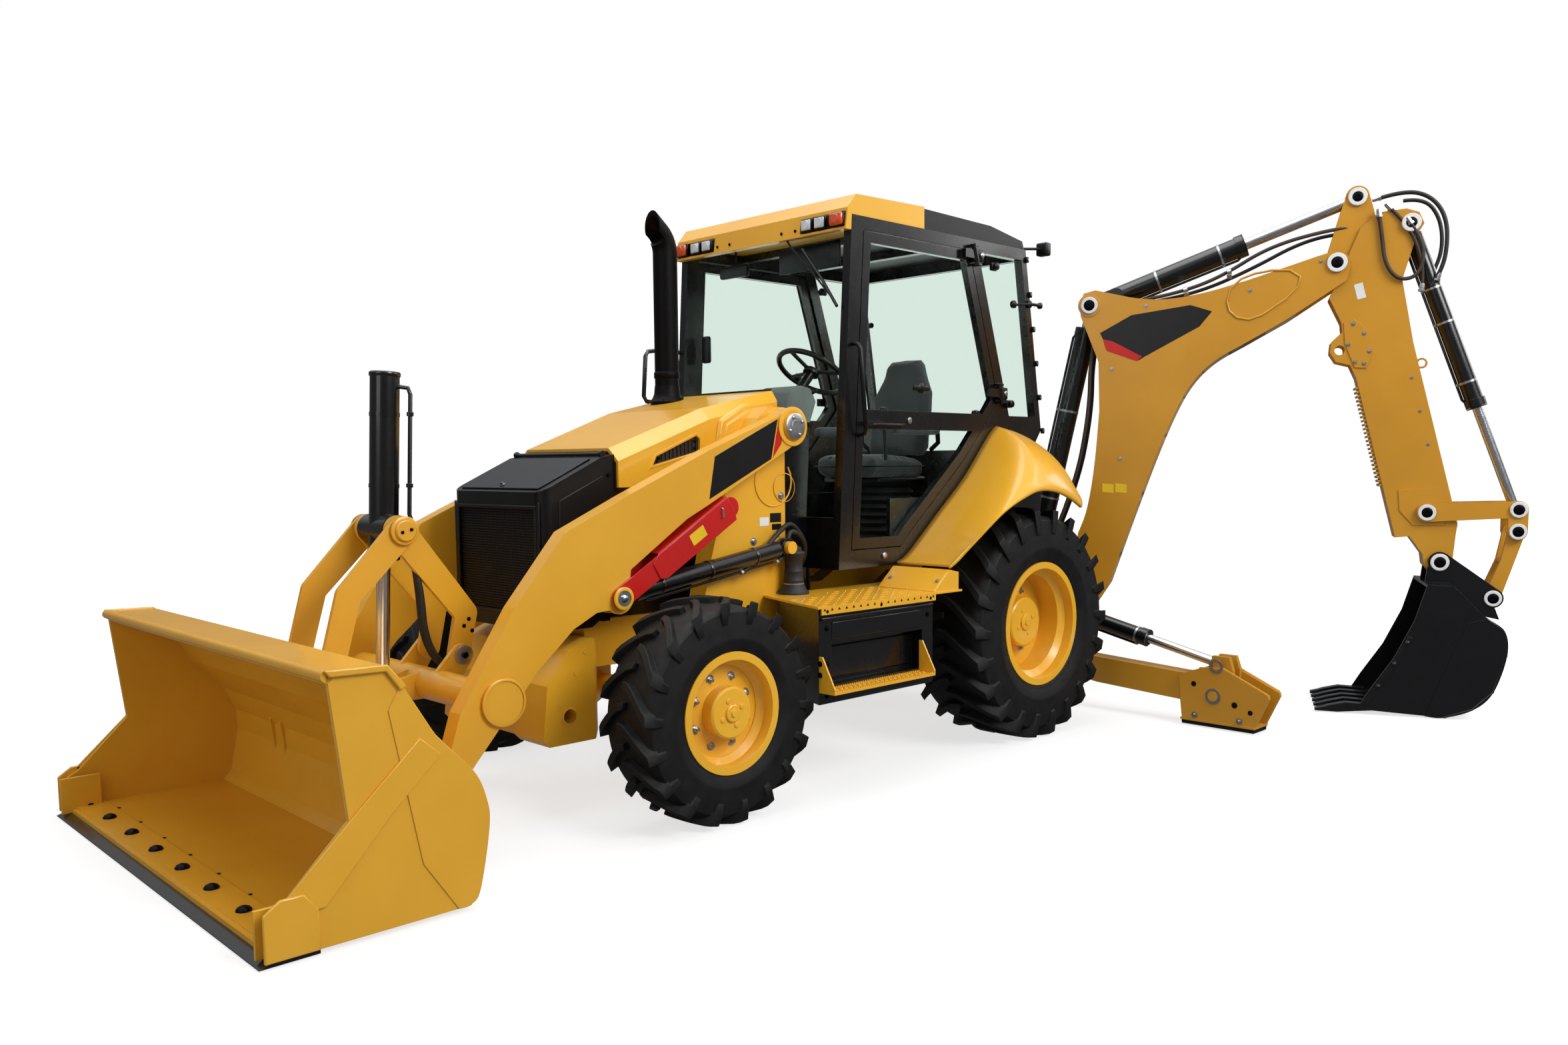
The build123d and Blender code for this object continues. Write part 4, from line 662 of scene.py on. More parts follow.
def armTrim(side, base):
    decalSheet(f"arm_decal_{side}", armDecal["black"], 640, vinylBlack, "loader_frame", base)
    decalSheet(f"arm_decal_end_{side}", armDecal["red"], 640, vinylRed, "loader_frame", base)
    # rings and zinc cap at the arm's pivot
    turnedPiece(f"arm_pivot_rings_{side}", [(88, 0), (92, 1), (92, 6), (84, 8), (70, 8), (68, 5), (54, 5)],
        (640, *pins["arm"]), (1, 0, 0), 40, yellowEnamel, "loader_frame", base, smooth=45)
    shape = bmesh.new()
    addTurned(shape, [(62, 0), (62, 6), (56, 9), (30, 9), (28, 12), (0, 12)], (658, *pins["arm"]), (1, 0, 0), 32)
    for turn in (0.5, 2.0, 3.65, 5.2):
        addBolt(shape, (666, pins["arm"][0] + 44 * math.cos(turn), pins["arm"][1] + 44 * math.sin(turn)), (1, 0, 0),
            8, 0)
    finishPiece(f"arm_pivot_cap_{side}", shape, zincPlate, "machine", base, smooth=45)
    # weld round the cross tube's end, and the bucket pin's boss
    turnedPiece(f"cross_tube_weld_{side}", [(90, 0), (94, -2), (94, 3), (90, 5), (84, 5)], (653, *pins["tube"]),
        (1, 0, 0), 40, paintedShadeYellow, "loader_frame", base, smooth=60)
    turnedPiece(f"bucket_pin_boss_{side}", [(62, 0), (62, 4), (56, 7), (34, 7), (34, 3), (0, 3)],
        (640, *pins["bucket"]), (1, 0, 0), 32, paintedShadeYellow, "loader_frame", base, smooth=45)
    shape = bmesh.new()
    pinEnd(shape, (662, *pins["lift"]), (1, 0, 0), 40)
    addBolt(shape, (668, *pins["lift"]), (1, 0, 0), 15, 1.4)
    finishPiece(f"lift_pin_cap_{side}", shape, zincPlate, "loader_frame", base, smooth=45)
    turnedPiece(f"lift_pin_ring_{side}", [(34, 0), (38, 0), (48, 2), (48, 10), (44, 12), (34, 12)],
        (660, *pins["lift"]), (1, 0, 0), 32, yellowEnamel, "loader_frame", base, smooth=45)


bothSides(armTrim)


def tiltTrim(side, base):
    shape = bmesh.new()
    addTurned(shape, [(58, 0), (58, 7), (54, 10), (44, 10)], (180, *pins["leverTop"]), (1, 0, 0), 36)
    addTurned(shape, [(43, 4), (43, 18), (39, 22), (0, 22)], (180, *pins["leverTop"]), (1, 0, 0), 36)
    finishPiece(f"lever_cap_{side}", shape, paintedShadeYellow, "loader_tilt_lever", base, smooth=45)
    shape = bmesh.new()
    for dy in (-19, 19):
        addTurned(shape, [(7, 0), (7, 5), (3, 6), (3, 3), (0, 3)], (201, pins["leverTop"][0] + dy,
            pins["leverTop"][1] + dy * 0.25), (1, 0, 0), 14)
    for y, z in ((-2885, 815), (-2862, 842), (-2848, 792)):
        addTurned(shape, [(9, 0), (9, 1.2), (0, 1.2)], (142, y, z), (1, 0, 0), 14)
    finishPiece(f"lever_bolts_{side}", shape, darkSteel, "loader_tilt_lever", base)
    turnedPiece(f"lever_pivot_washer_{side}", [(30, 0), (40, 0), (40, 5), (34, 7), (0, 7)], (172, *pins["lever"]),
        (1, 0, 0), 28, zincPlate, "loader_frame", base)
    boltPiece(f"lever_pivot_bolt_{side}", [(179, *pins["lever"])], (1, 0, 0), 15, darkSteel, "loader_frame", base, 0)
    shape = bmesh.new()
    pinEnd(shape, (196, *pins["link"]), (1, 0, 0), 34)
    finishPiece(f"bucket_link_cap_{side}", shape, paintedShadeYellow, "front_bucket", base)
    shape = bmesh.new()   # gusset lugs on the cross tube beside the lever bracket
    for low, high in ((200, 214), (86, 98)):
        addPrism(shape, [(-3060, 610), (-2985, 640), (-2930, 560), (-2955, 520)], low, high)
    finishPiece(f"tube_gussets_{side}", shape, paintedShadeYellow, "loader_frame", base, bevel=4)


bothSides(tiltTrim)
tilt = {"top": Vector((0, *pins["leverTop"])), "foot": Vector((0, -3184, 560)), "above": 640}
up = (tilt["top"] - tilt["foot"]).normalized()
crown = tilt["top"] + up * tilt["above"]
shape = bmesh.new()
addTurned(shape, [(58.5, -6), (62, -2), (62, 10), (58, 14), (36, 16), (0, 16)], crown - up * 14, up, 36)
addTurned(shape, [(58.5, 0), (65, 4), (65, 44), (58.5, 48)], tilt["top"] - up * 128, up, 36)
finishPiece("tilt_barrel_caps", shape, blackEnamel, "tilt_barrel", smooth=45)
pipes = bmesh.new()
beside = Vector((52, 48, 0))
addTube(pipes, [crown - up * 60 + beside * 0.8, crown - up * 66 + beside * 1.35, crown - up * 92 + beside * 1.5,
    tilt["top"] + up * 60 + beside * 1.5, tilt["top"] + up * 20 + beside * 1.7], 9)
addTube(pipes, [tilt["top"] - up * 96 + beside * 0.9, tilt["top"] - up * 96 + beside * 1.5,
    tilt["top"] - up * 130 + beside * 1.7], 9)
for spot in (crown - up * 180, crown - up * 470):
    addTurned(pipes, [(60, 0), (60, 16)], spot, up, 32)
    addTurned(pipes, [(14, 0), (14, 16), (0, 16)], spot + beside * 1.5, up, 14)
finishPiece("tilt_barrel_pipe", pipes, blackEnamel, "tilt_barrel", smooth=50)
fittings = bmesh.new()
for spot in (tilt["top"] + up * 14 + beside * 1.75, tilt["top"] - up * 140 + beside * 1.8):
    addTurned(fittings, [(0, 0), (13, 0), (13, 18), (10, 20), (10, 34), (0, 34)], spot, -up, 6)
finishPiece("tilt_pipe_fittings", fittings, zincPlate, "tilt_barrel")
for index, (start, reach) in enumerate(((tilt["top"] + up * 10 + beside * 1.8, 0),
        (tilt["top"] - up * 150 + beside * 1.8, 26))):
    x = 70 + reach
    hoseLine(f"tilt_hose_{index}", [start, (x + 26, -3080, 1130 - 3 * reach), (x + 30, -3062, 960),
        (x + 22, -3050, 800), (x + 10, -3000, 690), (x + 10, -2940, 640), (x + 30, -2900, 600)], 13, hoseRubber,
        "loader_frame")
shape = bmesh.new()
addBox(shape, (-150, -3105, 1260), (-62, -3070, 1345))
addBox(shape, (-160, -3110, 1180), (-150, -3060, 1350))
finishPiece("tilt_level_bracket", shape, blackEnamel, "loader_tilt_lever", bevel=3)

brace = {"foot": Vector((0, *pins["lift"])), "end": Vector((0, -1838, 1291))}
run = (brace["end"] - brace["foot"]).normalized()
over = Vector((0, -run.z, run.y))
shape = bmesh.new()
outline = []
for reach, out in ((205, -44), (235, -64), (700, -64), (710, -30), (704, 52), (250, 52), (205, 30)):
    spot = brace["foot"] + run * reach + over * out
    outline.append((spot.y, spot.z))
addPrism(shape, outline, 655, 661)
outer = [(brace["foot"] + run * reach + over * 52).yz for reach in (250, 704)]
cap = [tuple(outer[0]), tuple(outer[1]), tuple(outer[1] + Vector((over.y, over.z)) * 5),
    tuple(outer[0] + Vector((over.y, over.z)) * 5)]
addPrism(shape, cap, 540, 661)
finishPiece("brace_channel", shape, redEnamel, "loader_frame", bevel=3)
shape = bmesh.new()
spots = [brace["foot"] + run * reach + over * out for reach, out in ((430, -26), (520, -26), (520, 26), (430, 26))]
addPrism(shape, [(s.y, s.z) for s in spots], 661, 662)
finishPiece("brace_label", shape, vinylYellow, "loader_frame")
shape = bmesh.new()
spot = brace["foot"] + run * 640 + over * 10
addTube(shape, [spot + Vector((663, 0, -22)), spot + Vector((672, 0, -18)), spot + Vector((672, 0, 18)),
    spot + Vector((663, 0, 22))], 4, 8)
finishPiece("brace_clip", shape, zincPlate, "loader_frame")

# lift cylinders: a thin pipe along the top of each barrel, and its hoses
liftFoot = Vector((600, *pins["liftFoot"]))
liftRun = (Vector((600, *pins["lift"])) - liftFoot).normalized()
liftUp = Vector((0, -liftRun.z, liftRun.y))


def liftTrim(side, base):
    shape = bmesh.new()
    start = liftFoot + liftRun * 90 + liftUp * 52
    end = liftFoot + liftRun * 830 + liftUp * 52
    addTube(shape, [start, end, end - liftUp * 8 + liftRun * 20], 7)
    for reach in (200, 480, 760):
        addTurned(shape, [(41, 0), (43, 2), (43, 14), (41, 16)], liftFoot + liftRun * reach, liftRun, 28)
    finishPiece(f"lift_pipe_{side}", shape, blackEnamel, "lift_barrels", base, smooth=50)
    shape = bmesh.new()
    for reach in (74, 300):
        addTurned(shape, [(0, 0), (12, 0), (12, 20), (9, 22), (9, 40), (0, 40)],
            liftFoot + liftRun * reach + liftUp * 56, -liftRun, 6)
    finishPiece(f"lift_fittings_{side}", shape, zincPlate, "lift_barrels", base)


bothSides(liftTrim)
for side, base in sides:
    for index, (high, out) in enumerate(((0, 0), (34, 22))):
        start = liftFoot + liftRun * (60 + 225 * index) + liftUp * 56
        hoseLine(f"lift_hose_{side}_{index}", [start, start - liftRun * 60 + Vector((0, 0, 12)),
            (600 - out, -1430, 1168 + high), (585 - out, -1345, 1150 + high), (560, -1270, 1090),
            (500, -1235, 1020 - high), (430, -1220, 960)], 12, hoseRubber, "machine", base)
print("loader dressed")

bucket = {"half": 1131}   # front bucket
tubePiece("bucket_spill_lip", [(-bucket["half"], -3889, 852), (bucket["half"], -3889, 852)], 19, 20, paintedShadeYellow,
    "front_bucket", smooth=60)
bolts, slots = bmesh.new(), bmesh.new()
for x in spread(7, -1095, 690):
    addTurned(bolts, [(26, 0), (26, 4), (20, 12), (9, 17), (0, 18)], (x, -4008, 40), (0, 0, 1), 20)
    addTurned(slots, [(9, 0), (9, 1.4), (0, 1.4)], (x + 150, -3936, 37), (0, 0, 1), 14)
finishPiece("bucket_bolts", bolts, darkSteel, "front_bucket", smooth=40)
finishPiece("bucket_plug_holes", slots, darkSteel, "front_bucket")


# plates on the bucket's side: outline, bevel, and how far they reach inwards and outwards
sideRear = smoothed([(-3480, 18), (-3434, 22), (-3398, 68), (-3359, 270), (-3365, 366), (-3412, 475), (-3545, 621),
    (-3653, 802)])
bucketPlates = {
    "side": (sideRear + [(-3700, 720), (-3600, 200)], 1.5, 0, 4),
    "band": ([(-4045, 196), (-3838, 396), (-3600, 617), (-3527, 551), (-3700, 390), (-3922, 146), (-3990, 146)], 3, 0,
        9),
    "cutter": ([(-4112, 20), (-4112, 168), (-4060, 205), (-3990, 205), (-3946, 150), (-3946, 20)], 4, 0, 13),
    "corner": ([(-4118, 18), (-4118, 172), (-3964, 172), (-3964, 18)], 3, -59, -47),
    "brow": ([(-3900, 872), (-3700, 867), (-3640, 792), (-3660, 780), (-3706, 846), (-3884, 850)], 4, 0, 15),
}


def bucketSide(side, base):
    for part, (outline, bevel, near, far) in bucketPlates.items():
        prismPiece(f"bucket_{part}_{side}", outline, bucket["half"] + near, bucket["half"] + far, paintedShadeYellow,
            "front_bucket", base=base, bevel=bevel)
    weld = ((-3430, 40), (-3398, 90), (-3366, 270), (-3372, 360), (-3420, 470), (-3552, 615), (-3660, 796))
    tubePiece(f"bucket_welds_{side}", [(bucket["half"] - 23, y, z) for y, z in weld], 6, 8, paintedShadeYellow,
        "front_bucket", base)


bothSides(bucketSide)
print("front bucket dressed")

amberLens = makeLens("amber lens, moulded acrylic", "#e0521a", "#c8420f")   # cab
clearLens = makeLens("clear lens, moulded acrylic", "#dfe3e6", "#c6ccd1")
seatFabric = makeFabric()
bellowsRubber = makePlastic("bellows, moulded rubber", "#141416", "#1b1b1e", 0.6, 300)
consoleGrey = makePlastic("console, grained polymer, mid grey", "#6b6e70", "#747779", 0.6, 800)
visor = {"recess": -1054, "low": 2630, "high": 2700}


def addBlock(shape, low, high, round=6):   # a block whose upright edges and rims are rounded
    (x0, y0, z0), (x1, y1, z1) = low, high
    r = min(round, (x1 - x0) / 2.1, (y1 - y0) / 2.1, (z1 - z0) / 2.1)
    corners = [(x0 + r, y0 + r, math.pi), (x1 - r, y0 + r, 1.5 * math.pi), (x1 - r, y1 - r, 0),
        (x0 + r, y1 - r, 0.5 * math.pi)]
    loops = []
    for inset, z in ((r, z0), (r * 0.3, z0 + r * 0.3), (0, z0 + r), (0, z1 - r), (r * 0.3, z1 - r * 0.3), (r, z1)):
        loops.append([(cx + (r - inset) * math.cos(start + k * math.pi / 6), cy
            + (r - inset) * math.sin(start + k * math.pi / 6), z) for cx, cy, start in corners for k in range(4)])
    addLoops(shape, loops)


def cabLamps(side, base):
    housing, clear, amber, screws = bmesh.new(), bmesh.new(), bmesh.new(), bmesh.new()
    addBlock(housing, (332, -1068, visor["low"]), (540, visor["recess"], visor["high"]), 5)
    for x in (385, 478):
        addBlock(housing, (x - 40, -1084, 2634), (x + 40, -1060, 2698), 8)
        addBlock(clear, (x - 33, -1088, 2641), (x + 33, -1078, 2691), 6)
        addTurned(clear, [(24, 0), (22, 3), (8, 4), (0, 4)], (x, -1088, 2666), (0, -1, 0), 24)
    addBlock(housing, (548, -1082, visor["low"] + 2), (640, visor["recess"], visor["high"] + 2), 6)
    addBlock(amber, (553, -1096, 2637), (637, -1076, 2697), 9)
    addTurned(amber, [(22, 0), (20, 3), (0, 4)], (595, -1096, 2667), (0, -1, 0), 24)
    for x in (200, 300):
        addTurned(screws, [(8, 0), (8, 2), (0, 2)], (x, -1074, 2650), (0, -1, 0), 14)
    finishPiece(f"lamp_housings_{side}", housing, blackPlastic, "machine", base, smooth=50)
    finishPiece(f"work_lamps_{side}", clear, clearLens, "machine", base, smooth=50)
    finishPiece(f"turn_lamp_{side}", amber, amberLens, "machine", base, smooth=50)
    finishPiece(f"visor_screws_{side}", screws, darkSteel, "machine", base)
    # pressed panel in the visor's top
    prismPiece(f"visor_panel_{side}", [(24, -940), (600, -940), (600, -520), (24, -520)], 2791, 2799, yellowEnamel,
        "machine", "xy", base, 12)


bothSides(cabLamps)


def sideTrim(side, base):
    black, zinc = bmesh.new(), bmesh.new()
    for y, z in ((-30, 2604), (196, 1868)):   # hinges and their round knobs
        addBlock(black, (651, y - 40, z - 34), (672, y + 40, z + 34), 8)
        addTurned(zinc, [(15, 0), (15, 6), (10, 9), (0, 9)], (672, y + 14, z), (1, 0, 0), 20)
    for y, z in ((262, 1812), (110, 2560)):
        addBlock(black, (646, y - 26, z - 22), (668, y + 26, z + 22), 7)
        addTurned(black, [(17, 0), (20, 3), (20, 16), (15, 20), (0, 20)], (668, y, z), (1, 0, 0), 20)
    # latch knob and lock on the door, pull bar along its belt
    addTurned(black, [(26, 0), (28, 4), (28, 10), (20, 16), (0, 17)], (640, -500, 1872), (1, 0, 0), 24)
    addBlock(black, (634, -560, 1858), (650, -430, 1886), 6)
    addTube(black, [(654, -930, 1675), (676, -915, 1675), (682, -890, 1675), (682, -700, 1675), (676, -672, 1675),
        (654, -660, 1675)], 9)
    addTurned(zinc, [(16, 0), (16, 3), (11, 5), (4, 5), (0, 4)], (652, -600, 1702), (1, 0, 0), 20)
    # grab bar down the front post
    addTube(black, [(652, -1030, 2068), (690, -1034, 2064), (704, -1032, 2040), (704, -992, 1660), (690, -985, 1630),
        (652, -984, 1622)], 11)
    addTube(black, [(652, 428, 2385), (668, 470, 2385), (668, 560, 2386)], 9)   # brackets and stays on the rear post
    for y, z, r in ((300, 2372, 20), (560, 2386, 16), (452, 2386, 20)):
        addTurned(black, [(r, 0), (r + 2, 3), (r + 2, 18), (r - 4, 22), (0, 22)], (648, y, z), (1, 0, 0), 20)
    addTube(black, [(652, 300, 2372), (668, 330, 2372), (668, 440, 2384)], 7)
    for share in spread(6, 0.06, 0.94):
        y, z = 590 - 198 * share + 26, 1600 + 1100 * share
        addBlock(black, (646, y - 9, z - 16), (664, y + 12, z + 16), 4)
        addTurned(zinc, [(7, 0), (7, 4), (0, 5)], (664, y, z), (1, 0, 0), 12)
    addTube(black, [(630, 440, 2700), (668, 500, 2702), (672, 540, 2704)], 8)   # rear work lamp on its stalk
    addBlock(black, (640, 540, 2668), (712, 592, 2742), 9)
    finishPiece(f"cab_fittings_{side}", black, blackPlastic, "machine", base, smooth=45)
    finishPiece(f"cab_studs_{side}", zinc, zincPlate, "machine", base, smooth=45)
    lamp = bmesh.new()
    addBlock(lamp, (648, 590, 2676), (704, 598, 2734), 6)
    finishPiece(f"rear_lamp_{side}", lamp, clearLens, "machine", base, smooth=45)
    turnedPiece(f"sill_bolt_{side}", [(15, 0), (17, 3), (17, 9), (13, 12), (0, 12)], (650, -800, 1012), (1, 0, 0), 20,
        zincPlate, "machine", base, smooth=45)


bothSides(sideTrim)
front = bmesh.new()
addTube(front, [(170, -1042, 2668), (250, -1056, 2580), (420, -1058, 2420), (562, -1072, 2286)], 5, 8)   # wiper arm
addTube(front, [(330, -1056, 2560), (480, -1064, 2390), (590, -1076, 2250)], 8, 6)   # wiper blade
addBlock(front, (140, -1052, 2640), (210, -1026, 2690), 8)
for x in (-1, 1):
    addTurned(front, [(12, 0), (14, 2), (14, 8), (0, 9)], (x * 560, -1064, 1260), (0, -1, 0.06), 16)
finishPiece("wiper", front, blackPlastic, "machine", smooth=45)
rail = [(-1150, 1820), (-1300, 1832), (-1318, 1860), (-1302, 2080), (-1284, 2106), (-1180, 2120), (-1050, 2112)]
tubePiece("hand_rail", [(-652, y, z) for y, z in rail], 12, 12, blackEnamel, "machine", smooth=50)
inside = bmesh.new()
addBlock(inside, (-420, -960, 2500), (-200, -925, 2566), 12)   # mirror on the header
addTube(inside, [(-310, -940, 2560), (-310, -930, 2640)], 6, 8)
addBlock(inside, (60, -960, 2470), (500, -948, 2600), 5)   # sun visor
addBlock(inside, (-560, -980, 2050), (-500, -950, 2200), 12)
addBlock(inside, (-470, -1010, 1700), (-400, -960, 1770), 14)
addBlock(inside, (-330, -1010, 1700), (-250, -960, 1750), 14)
for x, y in ((330, -420), (-330, -420), (-390, 330), (390, 330)):
    addTube(inside, [(x, y, 1500), (x, y - 20, 1740)], 10, 10)
    addTurned(inside, [(0, -30), (20, -22), (28, 0), (22, 24), (0, 30)], (x, y - 22, 1760), (0, 0, 1), 16)
for x in (-390, 390):
    addBlock(inside, (x - 90, 250, 996), (x + 90, 420, 1500), 20)
finishPiece("cab_controls", inside, blackPlastic, "machine", smooth=45)

console = bmesh.new()   # console, column and wheel in their own finishes
outline = [(-1055, 996), (-1055, 1495), (-962, 1868), (-880, 1896), (-812, 1886), (-768, 1815), (-902, 1500),
    (-928, 996)]
addPrism(console, outline, -146, 146)
addBlock(console, (-150, -1000, 1500), (150, -905, 1580), 18)
finishPiece("console_body", console, consoleGrey, "machine", bevel=16, smooth=50)
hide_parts("steering_console")
rings = bmesh.new()
for x, y, z, r in ((70, -838, 1655, 42), (-60, -838, 1655, 42), (0, -905, 1420, 30)):
    addTurned(rings, [(r, -6), (r + 5, 0), (r + 5, 8), (r - 4, 10), (r - 6, 2), (0, 2)], (x, y, z), (0, 0.92, -0.39),
        28)
addBlock(rings, (-110, -905, 1760), (110, -870, 1880), 12)
addTube(rings, [(0, -860, 1770), (0, -664, 1981)], 27, 20)
addTube(rings, [(24, -820, 1820), (120, -800, 1850), (170, -790, 1872)], 8, 10)
finishPiece("console_fittings", rings, blackPlastic, "machine", smooth=45)
wheel = bmesh.new()
hub, lean = Vector((0, -660, 1985)), Vector((0, 0.55, 0.84)).normalized()
across, away = Vector((1, 0, 0)), Vector((0, lean.z, -lean.y))
rimShape = {"radius": 195, "grip": 15, "steps": 40, "sides": 10}
loops = []
for i in range(rimShape["steps"]):
    turn = math.tau * i / rimShape["steps"]
    out = across * math.cos(turn) + away * math.sin(turn)
    loops.append([hub + out * (rimShape["radius"] + rimShape["grip"] * math.cos(a))
        + lean * rimShape["grip"] * math.sin(a) for a in (math.tau * k / rimShape["sides"]
        for k in range(rimShape["sides"]))])
addLoops(wheel, loops, caps=False, hoop=True)
for turn in (0.15, math.pi - 0.15, -math.pi / 2):
    out = across * math.cos(turn) + away * math.sin(turn)
    addTube(wheel, [hub + out * 30, hub + out * 190], 11, 10)
addTurned(wheel, [(46, -14), (48, 0), (40, 14), (0, 18)], hub, lean, 28)
addTurned(wheel, [(14, 0), (22, 12), (20, 34), (0, 42)], hub + across * -170 + away * 60, lean, 16)
finishPiece("steering_wheel", wheel, blackPlastic, "machine", smooth=60)

# operator's seat: sewn cushions on a suspension bellows
seat = {"voxel": 0.006, "coarse": 0.012, "pressure": 4, "cap": 0.014, "frames": 20, "quality": 6, "mass": 0.3}


def sectionRing(centre, wide, deep, square, lean=0, steps=28):
    ring = []   # a rounded rectangle: wide across x, deep along the leaned direction
    for i in range(steps):
        turn = math.tau * i / steps
        c, s = math.cos(turn), math.sin(turn)
        a, b = math.copysign(abs(c) ** square, c) * wide, math.copysign(abs(s) ** square, s) * deep
        ring.append((centre[0] + a, centre[1] + b * math.cos(lean), centre[2] + b * math.sin(lean)))
    return ring


def softPad(name, sections, square=0.42):
    shape = bmesh.new()   # a crowned closed pad, inflated as cloth so that it swells between its edges
    addLoops(shape, [sectionRing(centre, wide, deep, square, lean) for centre, wide, deep, lean in sections])
    mesh = bpy.data.meshes.new(name)
    bmesh.ops.recalc_face_normals(shape, faces=shape.faces)
    shape.to_mesh(mesh)
    shape.free()
    mesh.transform(machine)
    pad = bpy.data.objects.new(name, mesh)
    bpy.context.scene.collection.objects.link(pad)
    grid = pad.modifiers.new("even grid", "REMESH")
    grid.mode, grid.voxel_size = "VOXEL", seat["voxel"]
    bakeInto(pad)
    before = [v.co.copy() for v in pad.data.vertices]
    cloth = pad.modifiers.new("swell", "CLOTH")
    cloth.settings.quality = seat["quality"]
    cloth.settings.mass = seat["mass"]
    cloth.settings.use_pressure = True
    cloth.settings.uniform_pressure_force = seat["pressure"]
    cloth.settings.effector_weights.gravity = 0
    cloth.collision_settings.use_collision = False
    for step in range(1, seat["frames"] + 1):
        bpy.context.scene.frame_set(step)
    bakeInto(pad)
    bpy.context.scene.frame_set(1)
    for vertex, was in zip(pad.data.vertices, before):
        move = vertex.co - was
        if move.length > seat["cap"]:
            vertex.co = was + move * (seat["cap"] / move.length)
    smooth = pad.modifiers.new("smooth weave base", "SMOOTH")
    smooth.factor, smooth.iterations = 0.5, 4
    bakeInto(pad)
    finer = pad.modifiers.new("one subdivision", "SUBSURF")
    finer.levels = finer.render_levels = 1
    pad.data.materials.append(seatFabric)
    for face in pad.data.polygons:
        face.use_smooth = True
    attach(pad, "machine")
    return pad


def bakeInto(piece):   # the modifiers' result becomes the mesh
    graph = bpy.context.evaluated_depsgraph_get()
    made = bpy.data.meshes.new_from_object(piece.evaluated_get(graph))
    piece.modifiers.clear()
    piece.data = made


cushion = softPad("seat_cushion", [((0, -425, 1462), 205, 34, 1.57), ((0, -395, 1468), 228, 50, 1.57),
    ((0, -250, 1466), 236, 54, 1.57), ((0, -90, 1456), 236, 54, 1.57), ((0, 40, 1448), 226, 46, 1.57)], 0.36)
softPad("seat_back", [((0, 58, 1520), 205, 28, 0.2), ((0, 66, 1560), 226, 38, 0.2), ((0, 92, 1730), 232, 40, 0.2),
    ((0, 118, 1890), 222, 38, 0.2), ((0, 135, 1990), 170, 34, 0.2), ((0, 142, 2070), 140, 30, 0.2),
    ((0, 146, 2102), 110, 20, 0.2)], 0.4)
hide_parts("operator_seat")
for side, outward in (("left", 1), ("right", -1)):
    softPad(f"arm_rest_{side}", [((outward * 295, -322, 1670), 24, 20, 1.57),
        ((outward * 295, -300, 1670), 28, 26, 1.57), ((outward * 295, 40, 1670), 28, 26, 1.57),
        ((outward * 295, 70, 1670), 24, 20, 1.57)], 0.5)
piping = bmesh.new()
ring = sectionRing((0, -190, 1466), 246, 238, 0.25, 0, 48)
addTube(piping, ring + [ring[0]], 4, 8)
for x in (-110, 110):
    addTube(piping, [(x, -410, 1515), (x, -200, 1526), (x, 20, 1512)], 3.5, 8)
    addTube(piping, [(x, 30, 1560), (x, 50, 1740), (x, 82, 1900)], 3.5, 8)
finishPiece("seat_piping", piping, blackPlastic, "machine", smooth=60)
bellows = bmesh.new()
fold = {"count": 17, "pitch": 22, "foot": 1010, "out": 186, "in": 162}
addLoops(bellows, [sectionRing((0, -135, fold["foot"] + k * fold["pitch"]), *[fold["in" if k % 2 else "out"]] * 2,
    0.45, 0, 32) for k in range(fold["count"])])
finishPiece("seat_bellows", bellows, bellowsRubber, "machine", smooth=60)
frameBars = bmesh.new()
addBlock(frameBars, (-215, -350, 1362), (215, 70, 1404), 14)
for x in (-295, 295):
    addTube(frameBars, [(x * 0.8, 85, 1560), (x, 78, 1600), (x, 72, 1655)], 14, 12)
finishPiece("seat_frame", frameBars, blackPlastic, "machine", smooth=45)
print("cab dressed")

# steps, tank and fenders
# flat plates on the tank: name, y, z and x from and to, bevel
tankPlates = [("panel_upper", (-1606, -1000), (708, 786), (1054, 1061), 6),
    ("ledge", (-1680, -912), (796, 812), (1050, 1068), 5), ("panel_lower", (-1596, -1000), (520, 668), (984, 996), 6),
    ("skirt", (-1600, -990), (430, 470), (1052, 1060), 5)]


